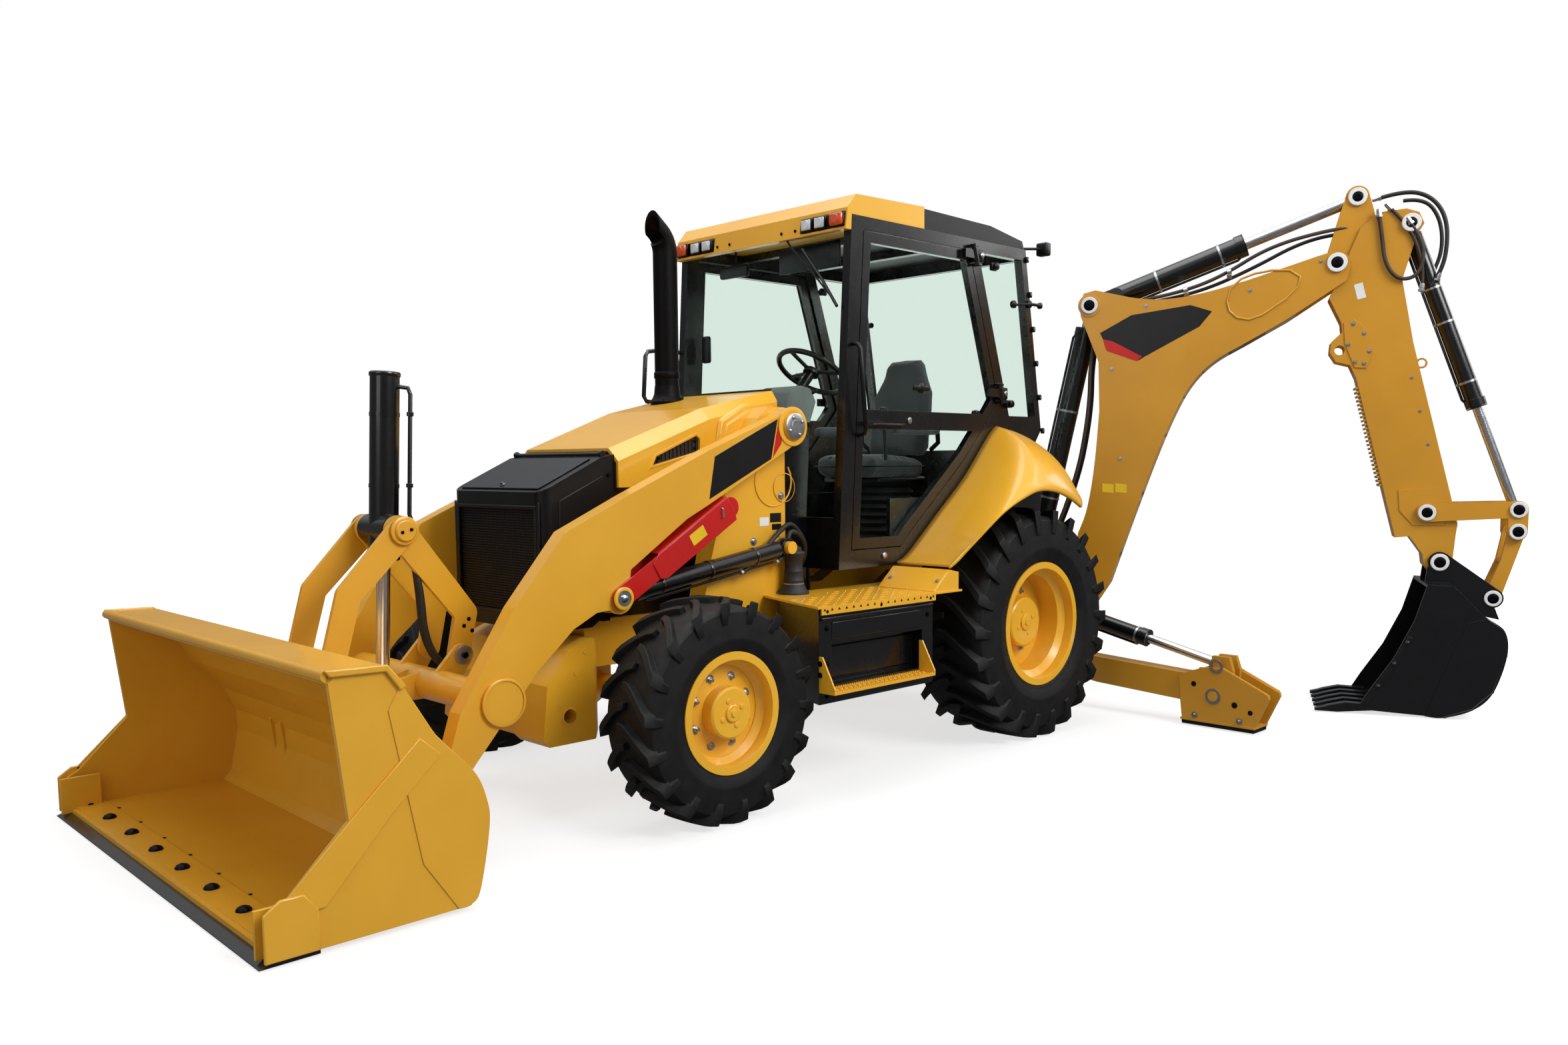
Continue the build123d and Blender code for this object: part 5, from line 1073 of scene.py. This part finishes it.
def deckTrim(side, base):
    bars, holes = bmesh.new(), bmesh.new()
    for row, y in enumerate(spread(15, -1650, -760)):   # raised tread bars in a staggered grid over the deck
        for column, x in enumerate(spread(8, 700, 1048)):
            edge = 1075 - 530 * (y + 1715) / 175 if y < -1540 else 545
            if x < edge + 25 or (x < 760 and y < -1325):
                continue
            turn = 0.78 if (row + column) % 2 else -0.78
            dx, dy = 15 * math.cos(turn), 15 * math.sin(turn)
            nx, ny = -3 * math.sin(turn), 3 * math.cos(turn)
            foot = [(x - dx - nx, y - dy - ny), (x + dx - nx, y + dy - ny), (x + dx + nx, y + dy + ny),
                (x - dx + nx, y - dy + ny)]
            addLoops(bars, [[(a, b, 862) for a, b in foot], [(x + (a - x) * 0.8, y + (b - y) * 0.8, 865.2) for a,
                b in foot]])
    finishPiece(f"deck_tread_{side}", bars, yellowEnamel, "machine", base)
    for y in spread(17, -1672, -925):   # row of small three-cornered drain holes in the turned-down edge
        addPrism(holes, [(y - 8, 841), (y + 8, 841), (y, 853)], 1074.6, 1075.6)
    for y in (-1655, -1300, -945):
        addTurned(holes, [(8, 0), (8, 1), (0, 1)], (1075, y, 838), (1, 0, 0), 14)
    finishPiece(f"deck_edge_holes_{side}", holes, blackPlastic, "machine", base)
    teeth = bmesh.new()   # lower step: cut teeth along both edges and raised rings between
    for x in (1062, 1144):
        for y in spread(46, -1674, -1016):
            addPrism(teeth, [(y - 5.5, 492), (y + 5.5, 492), (y, 500)], x - 3, x + 3)
    for y in spread(22, -1660, -1030):
        addTurned(teeth, [(9, 0), (9, 3), (6, 4.5), (5, 1), (0, 1)], (1103, y, 492), (0, 0, 1), 14)
    finishPiece(f"step_teeth_{side}", teeth, yellowEnamel, "machine", base)
    shape = bmesh.new()
    for y in (-1690, -1000):
        for z in (560, 610):
            addBolt(shape, (1064, y - 1 if y < -1500 else y + 1, z), (0, -1 if y < -1500 else 1, 0), 8)
    finishPiece(f"step_bolts_{side}", shape, darkSteel, "machine", base)
    for part, (y0, y1), (z0, z1), (x0, x1), bevel in tankPlates:   # tank: plates on its outer face, and corner bolts
        prismPiece(f"tank_{part}_{side}", [(y0, z0), (y1, z0), (y1, z1), (y0, z1)], x0, x1, blackEnamel, "machine",
            base=base, bevel=bevel)
    spots = ((-1640, 760), (-1640, 600), (-1640, 460), (-945, 760), (-945, 460))
    boltPiece(f"tank_bolts_{side}", [(1055, y, z) for y, z in spots], (1, 0, 0), 8, darkSteel, "machine", base)
    # riser flap with its fold and fixing bolts
    prismPiece(f"riser_flap_{side}", [(-904, 864), (-790, 960), (-782, 964), (-778, 958), (-896, 862)], 712, 1062,
        yellowEnamel, "machine", base=base, bevel=3)
    boltPiece(f"riser_bolts_{side}", [(740, -852, 912), (1040, -852, 912)], (0, -0.64, 0.77), 7, zincPlate, "machine",
        base)


# pressed fender, as (y, z): its line beside the cab, its edge over the tyre; crown is how round it is across
fender = {"inner": [(-701, 975), (-608, 1020), (-362, 1222), (-132, 1412), (108, 1660), (200, 1678), (345, 1645),
    (480, 1565), (575, 1400)], "edge": [(-790, 985), (-735, 1012), (-590, 1098), (-350, 1238), (-150, 1316),
    (-20, 1344), (130, 1334), (262, 1296), (370, 1245)], "x": (651, 1080), "crown": 0.62, "steps": 6, "across": 14,
    "wall": 12}


def fenderShell(side, base):
    shape = bmesh.new()
    rows, near, far = [], *fender["x"]
    for k in range(len(fender["inner"]) - 1):
        for step in range(fender["steps"] + (k == len(fender["inner"]) - 2)):
            share = step / fender["steps"]
            inner, edge = smoothLine(fender["inner"], k, share), smoothLine(fender["edge"], k, share)
            row = []
            for j in range(fender["across"] + 1):
                u = j / fender["across"]
                out = u + (math.sin(u * math.pi / 2) - u) * fender["crown"]
                down = u + (1 - math.cos(u * math.pi / 2) - u) * fender["crown"]
                y, z = inner.lerp(edge, down)
                row.append((near + (far - near) * out, y, z))
            y, z = edge
            row += [(far - 1, y, z - 9), (far - 7, y, z - 15), (far - 18, y, z - 16)]   # edge rolled inwards
            rows.append([shape.verts.new(p) for p in row])
    for first, second in zip(rows, rows[1:]):
        for a, b, c, d in zip(first, first[1:], second[1:], second):
            shape.faces.new((a, b, c, d))
    piece = finishPiece(f"fender_{side}", shape, yellowEnamel, "machine", base, smooth=70)
    wall = piece.modifiers.new("sheet", "SOLIDIFY")
    wall.thickness = fender["wall"] / 1000
    wall.offset = -1
    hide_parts("rear_fenders")


bothSides(fenderShell)
bothSides(deckTrim)
turnedPiece("filler_boot", [(74, 0), (74, 8), (62, 20), (52, 44), (48, 60), (50, 66), (46, 72), (45, 104), (47, 110),
    (44, 116), (43, 150), (46, 168), (54, 180), (56, 196), (50, 204), (40, 204), (38, 222), (24, 230), (0, 232)],
    (600, -1396, 862), (0, 0, 1), 36, bellowsRubber, "machine", smooth=40)
turnedPiece("filler_clamp", [(49, 0), (51, 1), (51, 9), (49, 10)], (600, -1396, 905), (0, 0, 1), 36, zincPlate,
    "machine")
turnedPiece("tower_arc", [(70, 0), (70, 5), (66, 6)], (540, -1400, 1370), (1, 0, 0), 40, yellowEnamel, "machine")
decalSheet("tower_label_white", [(-1560, 1190), (-1500, 1190), (-1500, 1232), (-1560, 1232)], 540, vinylWhite,
    "machine", thick=1)
labels = bmesh.new()
addPrism(labels, [(-1492, 1206), (-1420, 1206), (-1420, 1250), (-1492, 1250)], 540, 541)
addPrism(labels, [(-1480, 1170), (-1420, 1170), (-1420, 1198), (-1480, 1198)], 540, 541)
finishPiece("tower_label_black", labels, vinylBlack, "machine")


def towerTrim(side, base):
    arc = [(542, -1470 + 118 * math.cos(a), 1400 + 118 * math.sin(a)) for a in spread(15, math.radians(150),
        math.radians(395))]
    tubePiece(f"tower_seam_{side}", arc, 4, 8, yellowEnamel, "machine", base, smooth=60)
    spots = ((-1420, 1330), (-1600, 1120), (-1440, 1120), (-1840, 860), (-1440, 860))
    boltPiece(f"tower_bolts_{side}", [(540, y, z) for y, z in spots], (1, 0, 0), 12, zincPlate, "machine", base)
    shape = bmesh.new()
    for y, z in ((-2520, 600), (-2470, 690), (-2600, 480)):
        addTurned(shape, [(14, 0), (14, 2), (0, 2)], (420, y, z), (1, 0, 0), 18)
    addTurned(shape, [(30, 0), (38, 0), (38, 4), (31, 6)], (420, -2560, 420), (1, 0, 0), 28)
    finishPiece(f"weight_plugs_{side}", shape, yellowEnamel, "machine", base, smooth=45)


bothSides(towerTrim)
print("steps and fenders dressed")

# backhoe; points as (lateral, reach, height)
# pin bushes are bright machined steel; their shine is painted in as matt white plastic, a painted reflection
paintedShineWhite = makePlastic("pin bush, machined steel, white for painted shine", "#e4e4e2", "#d6d6d4", 0.42, 900)


def ringPin(name, reach, z, half, body, ring, core, proud):
    paintedShineBushes, cores = bmesh.new(), bmesh.new()   # round a black pin's end, on both faces, a steel bush painted white: a painted reflection for its silver shine
    for face in (half, -half):
        axis = (1 if face > 0 else -1, 0, 0)
        addTurned(paintedShineBushes, [(core, 0), (ring, 0), (ring, proud - 3), (ring - 3, proud), (core, proud)],
            (face, reach, z), axis, 32)
        addTurned(cores, [(core, 0), (core, proud - 3), (core - 5, proud), (9, proud), (7, proud - 3),
            (0, proud - 3)], (face, reach, z), axis, 28)
    finishPiece(f"{name}_washers", paintedShineBushes, paintedShineWhite, body, backhoe, smooth=45)
    finishPiece(f"{name}_pins", cores, darkSteel, body, backhoe, smooth=45)


boomDecal = {"black": [(623, 2286), (812, 2388), (1160, 2432), (1287, 2388), (1216, 2300), (896, 2130), (859, 2107),
    (668, 2196)], "red": [(642, 2246), (700, 2232), (880, 2132), (850, 2104), (664, 2176)]}
stickLean = math.radians(14.2)
hoe = {"boom": 110, "stick": 85, "bucket": 305, "proud": 0.8}   # half widths, and how far a decal stands out


def onStick(along, across):
    return (1976 + along * math.sin(stickLean) + across * math.cos(stickLean),
        2635 - along * math.cos(stickLean) + across * math.sin(stickLean))


for side, face in (("left", hoe["boom"]), ("right", -hoe["boom"] - hoe["proud"])):
    decalSheet(f"boom_decal_{side}", boomDecal["black"], face, vinylBlack, "boom_body", backhoe)
    decalSheet(f"boom_decal_edge_{side}", boomDecal["red"], face * 1.006, vinylRed, "boom_body", backhoe)
    plates = bmesh.new()
    for a in (650, 730):
        addPrism(plates, [(a, 1290), (a + 70, 1284), (a + 70, 1338), (a, 1346)], face, face + hoe["proud"])
    finishPiece(f"boom_labels_{side}", plates, vinylYellow, "boom_body", backhoe)
    out = 1 if face > 0 else -1
    drop = [(1371, 2440), (1392, 2520), (1450, 2572), (1523, 2598), (1620, 2612), (1720, 2606), (1777, 2566),
        (1768, 2512), (1702, 2440), (1573, 2352), (1500, 2328), (1430, 2342), (1385, 2385)]
    tubePiece(f"boom_rib_{side}", [(out * hoe["boom"], a, b) for a, b in drop + drop[:1]], 7, 10, paintedDeepShadeYellow,
        "boom_body", backhoe, smooth=60)
    spots = ((1889, 2648), (1954, 2600), (1500, 2500), (900, 2440), (700, 2060), (760, 1500))
    boltPiece(f"boom_screws_{side}", [(out * hoe["boom"], a, b) for a, b in spots], (out, 0, 0), 8, zincPlate,
        "boom_body", backhoe)
# each pin: spot, half width of what it goes through, body, radii of ring and core, how far it stands out
hoePins = {
    "boom_knuckle": ((556, 2459), 118, "boom_body", 52, 34, 8),
    "boom_foot": ((510, 600), 145, "swing_casting", 50, 34, 4.5),
    "stick_pivot": ((1976, 2635), 118, "stick_inner", 56, 34, 8),
    "stick_head": (onStick(-340, 191), 76, "stick_inner", 52, 30, 8),
    "bucket_cylinder_base": (onStick(-103, 425), 100, "stick_outer", 52, 30, 8),
    "lever_pivot": (onStick(1544, 146), 118, "stick_outer", 48, 30, 8),
    "lever_cylinder": (onStick(1640, 603), 118, "hoe_lever", 46, 30, 8),
    "lever_link": (onStick(1761, 573), 118, "hoe_lever", 46, 30, 8),
    "hoe_pivot": (onStick(1842, 149), 120, "rear_bucket", 50, 32, 8),
    "hoe_link": (onStick(2107, 370), 120, "rear_bucket", 46, 30, 8),
}
for name, (spot, half, body, ring, core, proud) in hoePins.items():
    ringPin(name, *spot, half, body, ring, core, proud)

stickTrim, stickZinc, stickLabel = bmesh.new(), bmesh.new(), bmesh.new()
for out in (1, -1):
    face = out * hoe["stick"]
    # hose guard plate bolted over the lug, with its screws
    plate = [onStick(*p) for p in ((330, 10), (400, 60), (560, 70), (640, 20), (620, -40), (470, -60), (350, -40))]
    addPrism(stickTrim, plate, *sorted((face, face + out * 6)))
    for p in ((370, 8), (440, 52), (550, 56), (612, 14), (590, -30), (480, -44)):
        addBolt(stickZinc, (face + out * 6, *onStick(*p)), (out, 0, 0), 8)
    # doubler round the nose, studs along the box, and a blank label
    nose = [onStick(*p) for p in ((1380, 30), (1420, 262), (1560, 262), (1640, 220), (1600, 60), (1500, 10))]
    addPrism(stickTrim, nose, *sorted((face, face + out * 5)))
    for along in (760, 960, 1160):
        addTurned(stickZinc, [(9, 0), (9, 3), (0, 4)], (face, *onStick(along, 240)), (out, 0, 0), 14)
    label = [onStick(*p) for p in ((150, 60), (150, 108), (240, 108), (240, 60))]
    addPrism(stickLabel, label, *sorted((face, face + out * hoe["proud"])))
teeth = bmesh.new()   # cut teeth down the back of the stick, for the holding clamp
for along in spread(25, 740, 1330):
    spots = [onStick(along - 8, -40), onStick(along + 8, -40), onStick(along + 6, -62), onStick(along - 6, -62)]
    addPrism(teeth, spots, -80, 80)
finishPiece("stick_teeth", teeth, paintedDeepShadeYellow, "stick_outer", backhoe)
ring = [onStick(690 + 26 * math.cos(a), 318 + 26 * math.sin(a)) for a in spread(13, 0, math.tau)]
addTube(stickTrim, [(0, a, b) for a, b in ring], 6, 8)
finishPiece("stick_plates", stickTrim, paintedDeepShadeYellow, "stick_outer", backhoe, smooth=45)
finishPiece("stick_screws", stickZinc, zincPlate, "stick_outer", backhoe)
finishPiece("stick_labels", stickLabel, vinylWhite, "stick_outer", backhoe)


def cylinderTrim(name, foot, head, radius, body, spots, share, base=backhoe, pipe=1):
    # rod-end gland with wrench slots, silver strap bands, and a pipe along the barrel
    foot, head = Vector((0, *foot)), Vector((0, *head))
    run = (head - foot).normalized()
    length = (head - foot).length
    up = run.cross(Vector((1, 0, 0))).normalized()
    black, zinc = bmesh.new(), bmesh.new()
    for spot in spots:
        addTurned(zinc, [(radius, 0), (radius + 2.5, 1), (radius + 2.5, 13), (radius, 14)],
            foot + run * length * spot, run, 32)
        addTurned(zinc, [(8, -9), (9, 0), (8, 9), (0, 9)], foot + run * (length * spot + 7)
            + up * pipe * (radius + 9), run, 12)
    tip = foot + run * length * share
    addTurned(black, [(radius * 0.62, 0), (radius * 0.62, 5), (radius * 0.9, 8), (radius + 7, 8), (radius + 7, 2)],
        tip, run, 32)
    for k in range(6):
        turn = math.tau * k / 6
        around = Vector((1, 0, 0)) * math.cos(turn) + up * math.sin(turn)
        addTurned(black, [(4, 0), (4, 2), (0, 2)], tip + around * radius * 0.78 + run * 7, run, 10)
    start, end = foot + run * 150 + up * pipe * (radius + 10), tip - run * 60 + up * pipe * (radius + 10)
    addTube(black, [start - up * pipe * 14, start, end, end + run * 18 - up * pipe * 10], 8, 12)
    finishPiece(f"{name}_gland", black, blackEnamel, body, base, smooth=45)
    finishPiece(f"{name}_bands", zinc, zincPlate, body, base, smooth=45)


cylinderTrim("boom_cylinder", (190, 725), (556, 2459), 62, "boom_barrel", (0.3, 0.62), 0.92, pipe=-1)
cylinderTrim("stick_cylinder", (556, 2459), onStick(-340, 191), 62, "stick_barrel", (0.26, 0.5), 0.594)
cylinderTrim("bucket_cylinder", onStick(-103, 425), onStick(1640, 603), 48, "bucket_barrel", (0.22, 0.34, 0.55), 0.64)

hoePaths = {   # hoses: up the back of the boom, over its top, and in loops down to the stick
    "boom_hose_a": ("boom_body", [(82, 300, 900), (82, 470, 1300), (82, 560, 1800), (82, 560, 2150), (82, 640, 2440),
        (82, 820, 2470), (82, 1120, 2520), (80, 1343, 2600), (76, 1607, 2760), (66, 1950, 2838), (50, 2098, 2836),
        (40, 2204, 2800), (34, 2290, 2760)], 11),
    "boom_hose_b": ("boom_body", [(-82, 300, 900), (-82, 470, 1300), (-82, 560, 1800), (-82, 560, 2150),
        (-82, 640, 2450), (-82, 860, 2476), (-82, 1200, 2530), (-80, 1500, 2650), (-74, 1790, 2800),
        (-60, 2040, 2836), (-44, 2160, 2790), (-34, 2240, 2720)], 11),
    "tip_loop_a": ("stick_outer", [(100, 2190, 2900), (100, 2210, 2780), (102, 2230, 2610), (102, 2310, 2510),
        (102, 2416, 2540), (100, 2436, 2680), (100, 2390, 2790), (100, 2350, 2850)], 11),
    "tip_loop_b": ("stick_outer", [(30, 2190, 3000), (34, 2330, 3036), (40, 2470, 2990), (46, 2552, 2860),
        (50, 2556, 2660), (50, 2516, 2530), (48, 2480, 2480)], 12),
    "tip_loop_c": ("stick_outer", [(-40, 2330, 2990), (-44, 2440, 3000), (-50, 2530, 2880), (-50, 2548, 2700),
        (-48, 2500, 2560), (-46, 2470, 2500)], 11),
    "tip_loop_d": ("stick_outer", [(88, 2240, 2940), (96, 2300, 2880), (98, 2390, 2740), (96, 2436, 2560),
        (92, 2428, 2470)], 10),
}
for name, (body, points, radius) in hoePaths.items():
    cover = hoseBrown if name.endswith(("a", "d")) else hoseRubber
    if body != "boom_body":
        hoseLine(name, points, radius, cover, body, backhoe)
        continue
    line = hoseLine(f"{name}_line", points, radius, cover, None, backhoe)
    tube = bpy.data.objects.new(name, bpy.data.meshes.new_from_object(line))
    bpy.data.objects.remove(line)
    bpy.context.scene.collection.objects.link(tube)
    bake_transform(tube)   # its place is baked into the mesh
clamps = bmesh.new()
for reach, z in ((1130, 2512), (1380, 2606)):
    addBox(clamps, (-96, reach - 14, z - 8), (96, reach + 14, z + 2))
    for x in (-82, 82):
        addTurned(clamps, [(19, -12), (19, 12)], (x, reach, z + 14), (0, 1, 0.3), 16)
finishPiece("hose_clamps", clamps, zincPlate, "boom_body", backhoe, bevel=2)
ends = bmesh.new()
for x, reach, z, axis in ((100, 2190, 2905, (0, 0.1, -1)), (30, 2180, 3000, (0, 1, 0.3)),
        (100, 2350, 2850, (0, 0.6, -1)), (50, 2516, 2530, (0, -0.3, -1)), (-46, 2470, 2500, (0, -0.3, -1)),
        (92, 2428, 2470, (0, -0.1, -1)), (88, 2240, 2940, (0, 0.6, -0.7))):
    addTurned(ends, [(0, -22), (13, -22), (15, -6), (15, 10), (19, 12), (19, 24), (0, 24)], (x, reach, z), axis, 6)
finishPiece("hose_ends", ends, zincPlate, "stick_outer", backhoe)
webs = bmesh.new()   # boom: its plates are cut to smooth curves on the hollow sides
plateFaces = ((-hoe["boom"], -94), (94, hoe["boom"]))
for edge in ([(2030, 2530), (1718, 2322), (1471, 2183), (1303, 2093), (1176, 1964), (1081, 1786), (965, 1492),
        (814, 1051), (700, 705)], [(590, 2552), (925, 2465), (1209, 2490), (1504, 2567)],
        [(503, 1029), (559, 1171), (602, 1454), (625, 1804)]):
    for fill in roundedCorners(edge):
        for low, high in (plateFaces if len(edge) < 5 or max(p[0] for p in fill) > 1700
                else ((-hoe["boom"], hoe["boom"]),)):
            addPrism(webs, fill, low, high)
finishPiece("boom_edges", webs, paintedDeepShadeYellow, "boom_body", backhoe, smooth=40)

# rear bucket: rolled back with smooth side plates, tooth shanks, side cutters, wear strips and weld beads
back = smoothed([(2500, 11), (2595, 8), (2740, 60), (2840, 165), (2902, 380), (2885, 520), (2795, 585)])
roll = bmesh.new()
for low, high in ((-hoe["bucket"] - 4, 1 - hoe["bucket"]), (hoe["bucket"] - 1, hoe["bucket"] + 4)):
    addPrism(roll, back + [(2700, 560), (2600, 300)], low, high)
addPrism(roll, back + [(a - (a - 2600) * 0.06, b - (b - 300) * 0.06) for a, b in reversed(back)], -hoe["bucket"],
    hoe["bucket"])
finishPiece("hoe_bucket_back", roll, blackEnamel, "rear_bucket", backhoe, smooth=40)
hoeShape = bmesh.new()
for k in range(5):
    x = -275 + 137.5 * k
    addPrism(hoeShape, [(1924, 10), (2000, 8), (2120, 16), (2160, 30), (2130, 58), (2060, 62), (1990, 44),
        (1924, 18)], x - 22, x + 22)
    addTurned(hoeShape, [(9, -31), (9, 31)], (x, 2096, 40), (1, 0, 0), 12)
for out in (1, -1):
    low, high = sorted((out * hoe["bucket"], out * (hoe["bucket"] + 8)))
    addPrism(hoeShape, [(2160, 62), (2230, 160), (2340, 344), (2400, 470), (2424, 462), (2364, 330), (2256, 144),
        (2200, 56)], low, high)
    for reach, z in ((2250, 170), (2330, 305), (2395, 430)):
        addBolt(hoeShape, (out * (hoe["bucket"] + 8), reach, z), (out, 0, 0), 10)
    addTube(hoeShape, [(out * 304, a, b) for a, b in ((2596, 10), (2738, 64), (2838, 168), (2898, 382), (2880, 518),
        (2792, 588))], 7, 8)
for reach, z in ((2650, 22), (2790, 108), (2868, 260), (2895, 420)):
    addBox(hoeShape, (-250, reach - 20, z - 6), (250, reach + 20, z + 4))
finishPiece("hoe_bucket_trim", hoeShape, blackEnamel, "rear_bucket", backhoe, bevel=3)
print("backhoe dressed")

# stabilisers
def stabiliserTrim(side, base):
    body = f"stabiliser_{side}"
    shape = bmesh.new()
    addPrism(shape, [(1457, 34), (1884, 34), (1882, 7), (1460, 7)], 821, 979, "xz")
    finishPiece(f"pad_rubber_{side}", shape, tyreRubber, body, base, 5)
    bolts, holes = bmesh.new(), bmesh.new()
    for y, out in ((819, -1), (981, 1)):
        for x in (1540, 1800):
            addBolt(bolts, (x, y + 5 * out, 66), (0, out, 0), 11)
        for x, z, r in ((1530, 240, 15), (1770, 150, 17), (1860, 120, 14)):
            addTurned(holes, [(r, 0), (r, 1.2), (0, 1.2)], (x, y, z), (0, out, 0), 20)
        addTurned(bolts, [(28, 0), (44, 0), (44, 6), (28, 6)], (1645, y - 1 * out, 183), (0, out, 0), 28)
        addTurned(bolts, [(24, 0), (40, 0), (40, 6), (24, 6)], (1660, y - 1 * out, 352), (0, out, 0), 28)
    finishPiece(f"pad_bolts_{side}", bolts, zincPlate, body, base, smooth=45)
    finishPiece(f"pad_holes_{side}", holes, blackPlastic, body, base)
    rib = bmesh.new()
    for y in (826, 974):
        addTube(rib, [(1462, y, 60), (1452, y, 150), (1446, y, 280)], 6, 8)
        addTube(rib, [(1560, y, 332), (1700, y, 342), (1950, y, 228)], 6, 8)
    finishPiece(f"pad_welds_{side}", rib, paintedDeepShadeYellow, body, base)


bothSides(stabiliserTrim)
for side, base in sides:
    # the cylinder's line lies in the machine's x and z, so its frame is turned a quarter about z
    turned = base @ Matrix.Translation((0, 900, 0)) @ Matrix.Rotation(-math.pi / 2, 4, "Z")
    cylinderTrim(f"stabiliser_cylinder_{side}", (330, 655), (1660, 352), 45, f"stabiliser_cylinder_{side}",
        (0.3, 0.6), 0.65, base=turned)
boltPiece("rear_frame_bolts", [(x, 820, z) for x in (-500, -300, 300, 500) for z in (560, 840)], (0, 1, 0), 14,
    zincPlate, "machine")
print("stabilisers dressed")

# light and floor
studio = {"tint": (0.95, 0.97, 1, 1), "white": (1, 1, 1, 1), "floor": 60, "sky": 0.42, "shine": 0.14, "ceiling": 1.1,
    "seen": 1.0, "shade": 0.7, "clear": 1.0, "reach": 0.16}
world = bpy.data.worlds.new("studio")
bpy.context.scene.world = world
world.use_nodes = True
sky = world.node_tree
sky.nodes["Background"].inputs["Color"].default_value = studio["tint"]
sky.nodes["Background"].inputs["Strength"].default_value = studio["sky"]
rays = addNode(sky, "ShaderNodeLightPath")
# shiny faces mirror a dim room with a bright ceiling; past the machine and through its glass the eye meets white
toward = addNode(sky, "ShaderNodeTexCoord")
height = addNode(sky, "ShaderNodeSeparateXYZ", links={"Vector": toward.outputs["Generated"]})
ceiling = addNode(sky, "ShaderNodeMapRange", {"From Min": 0.25, "From Max": 0.8, "To Min": studio["shine"],
    "To Max": studio["ceiling"]}, {"Value": height.outputs["Z"]})
dim = addNode(sky, "ShaderNodeBackground", {"Color": studio["tint"]}, {"Strength": ceiling.outputs["Result"]})
paper = addNode(sky, "ShaderNodeBackground", {"Color": studio["white"], "Strength": studio["seen"]})
mirrorSky = addNode(sky, "ShaderNodeMixShader", {}, {"Fac": rays.outputs["Is Glossy Ray"]})
sky.links.new(sky.nodes["Background"].outputs["Background"], mirrorSky.inputs[1])
sky.links.new(dim.outputs["Background"], mirrorSky.inputs[2])
direct = addNode(sky, "ShaderNodeMath", operation="MAXIMUM")
sky.links.new(rays.outputs["Is Camera Ray"], direct.inputs[0])
sky.links.new(rays.outputs["Is Transmission Ray"], direct.inputs[1])
seenSky = addNode(sky, "ShaderNodeMixShader", {}, {"Fac": direct.outputs["Value"]})
sky.links.new(mirrorSky.outputs["Shader"], seenSky.inputs[1])
sky.links.new(paper.outputs["Background"], seenSky.inputs[2])
sky.links.new(seenSky.outputs["Shader"], sky.nodes["World Output"].inputs["Surface"])
# matte paper that glows, dimmer near the machine: a painted shade there, in which cast shadows show pale; further out
# it runs to plain white
ground, groundTree, groundShader, groundCoords = startMaterial("studio floor, white paper", "#9a9a9a", 0.95,
    Specular_IOR_Level=0)
groundShader.inputs["Emission Color"].default_value = studio["white"]
near = addNode(groundTree, "ShaderNodeVectorMath", {"Scale": studio["reach"]}, {"Vector": groundCoords},
    operation="SCALE")
ball = addNode(groundTree, "ShaderNodeTexGradient", links={"Vector": near.outputs["Vector"]},
    gradient_type="SPHERICAL")
# the glow is lowest round the machine: painted shade on the floor
paintedShadeGlow = addNode(groundTree, "ShaderNodeMapRange", {"From Max": 0.5, "To Min": studio["clear"],
    "To Max": studio["shade"]}, {"Value": ball.outputs["Fac"]})
groundTree.links.new(paintedShadeGlow.outputs["Result"], groundShader.inputs["Emission Strength"])
bpy.ops.mesh.primitive_plane_add(size=studio["floor"], location=(0, 0, 0))
floor = bpy.context.object
floor.name = "floor"
floor.data.materials.append(ground)
floor.visible_glossy = False
floor.visible_diffuse = False
# soft boxes: name, place and target in m, size, watts
softBoxes = [("key", (9.5, 0.5, 7.5), (0, -0.5, 1), 5, 860), ("front", (2, -11, 5), (0, 0, 1), 5, 150),
    ("over", (-1, -1, 9), (0, 0, 0), 7, 430), ("rim", (4, 9, 6), (0, 0, 1), 5, 260)]
for name, place, target, size, watts in softBoxes:
    light = bpy.data.lights.new(name, "AREA")
    light.size = size
    light.energy = watts
    lamp = bpy.data.objects.new(name, light)
    lamp.location = place
    lamp.rotation_euler = (Vector(place) - Vector(target)).to_track_quat("Z", "Y").to_euler()
    bpy.context.scene.collection.objects.link(lamp)
print("studio lit")
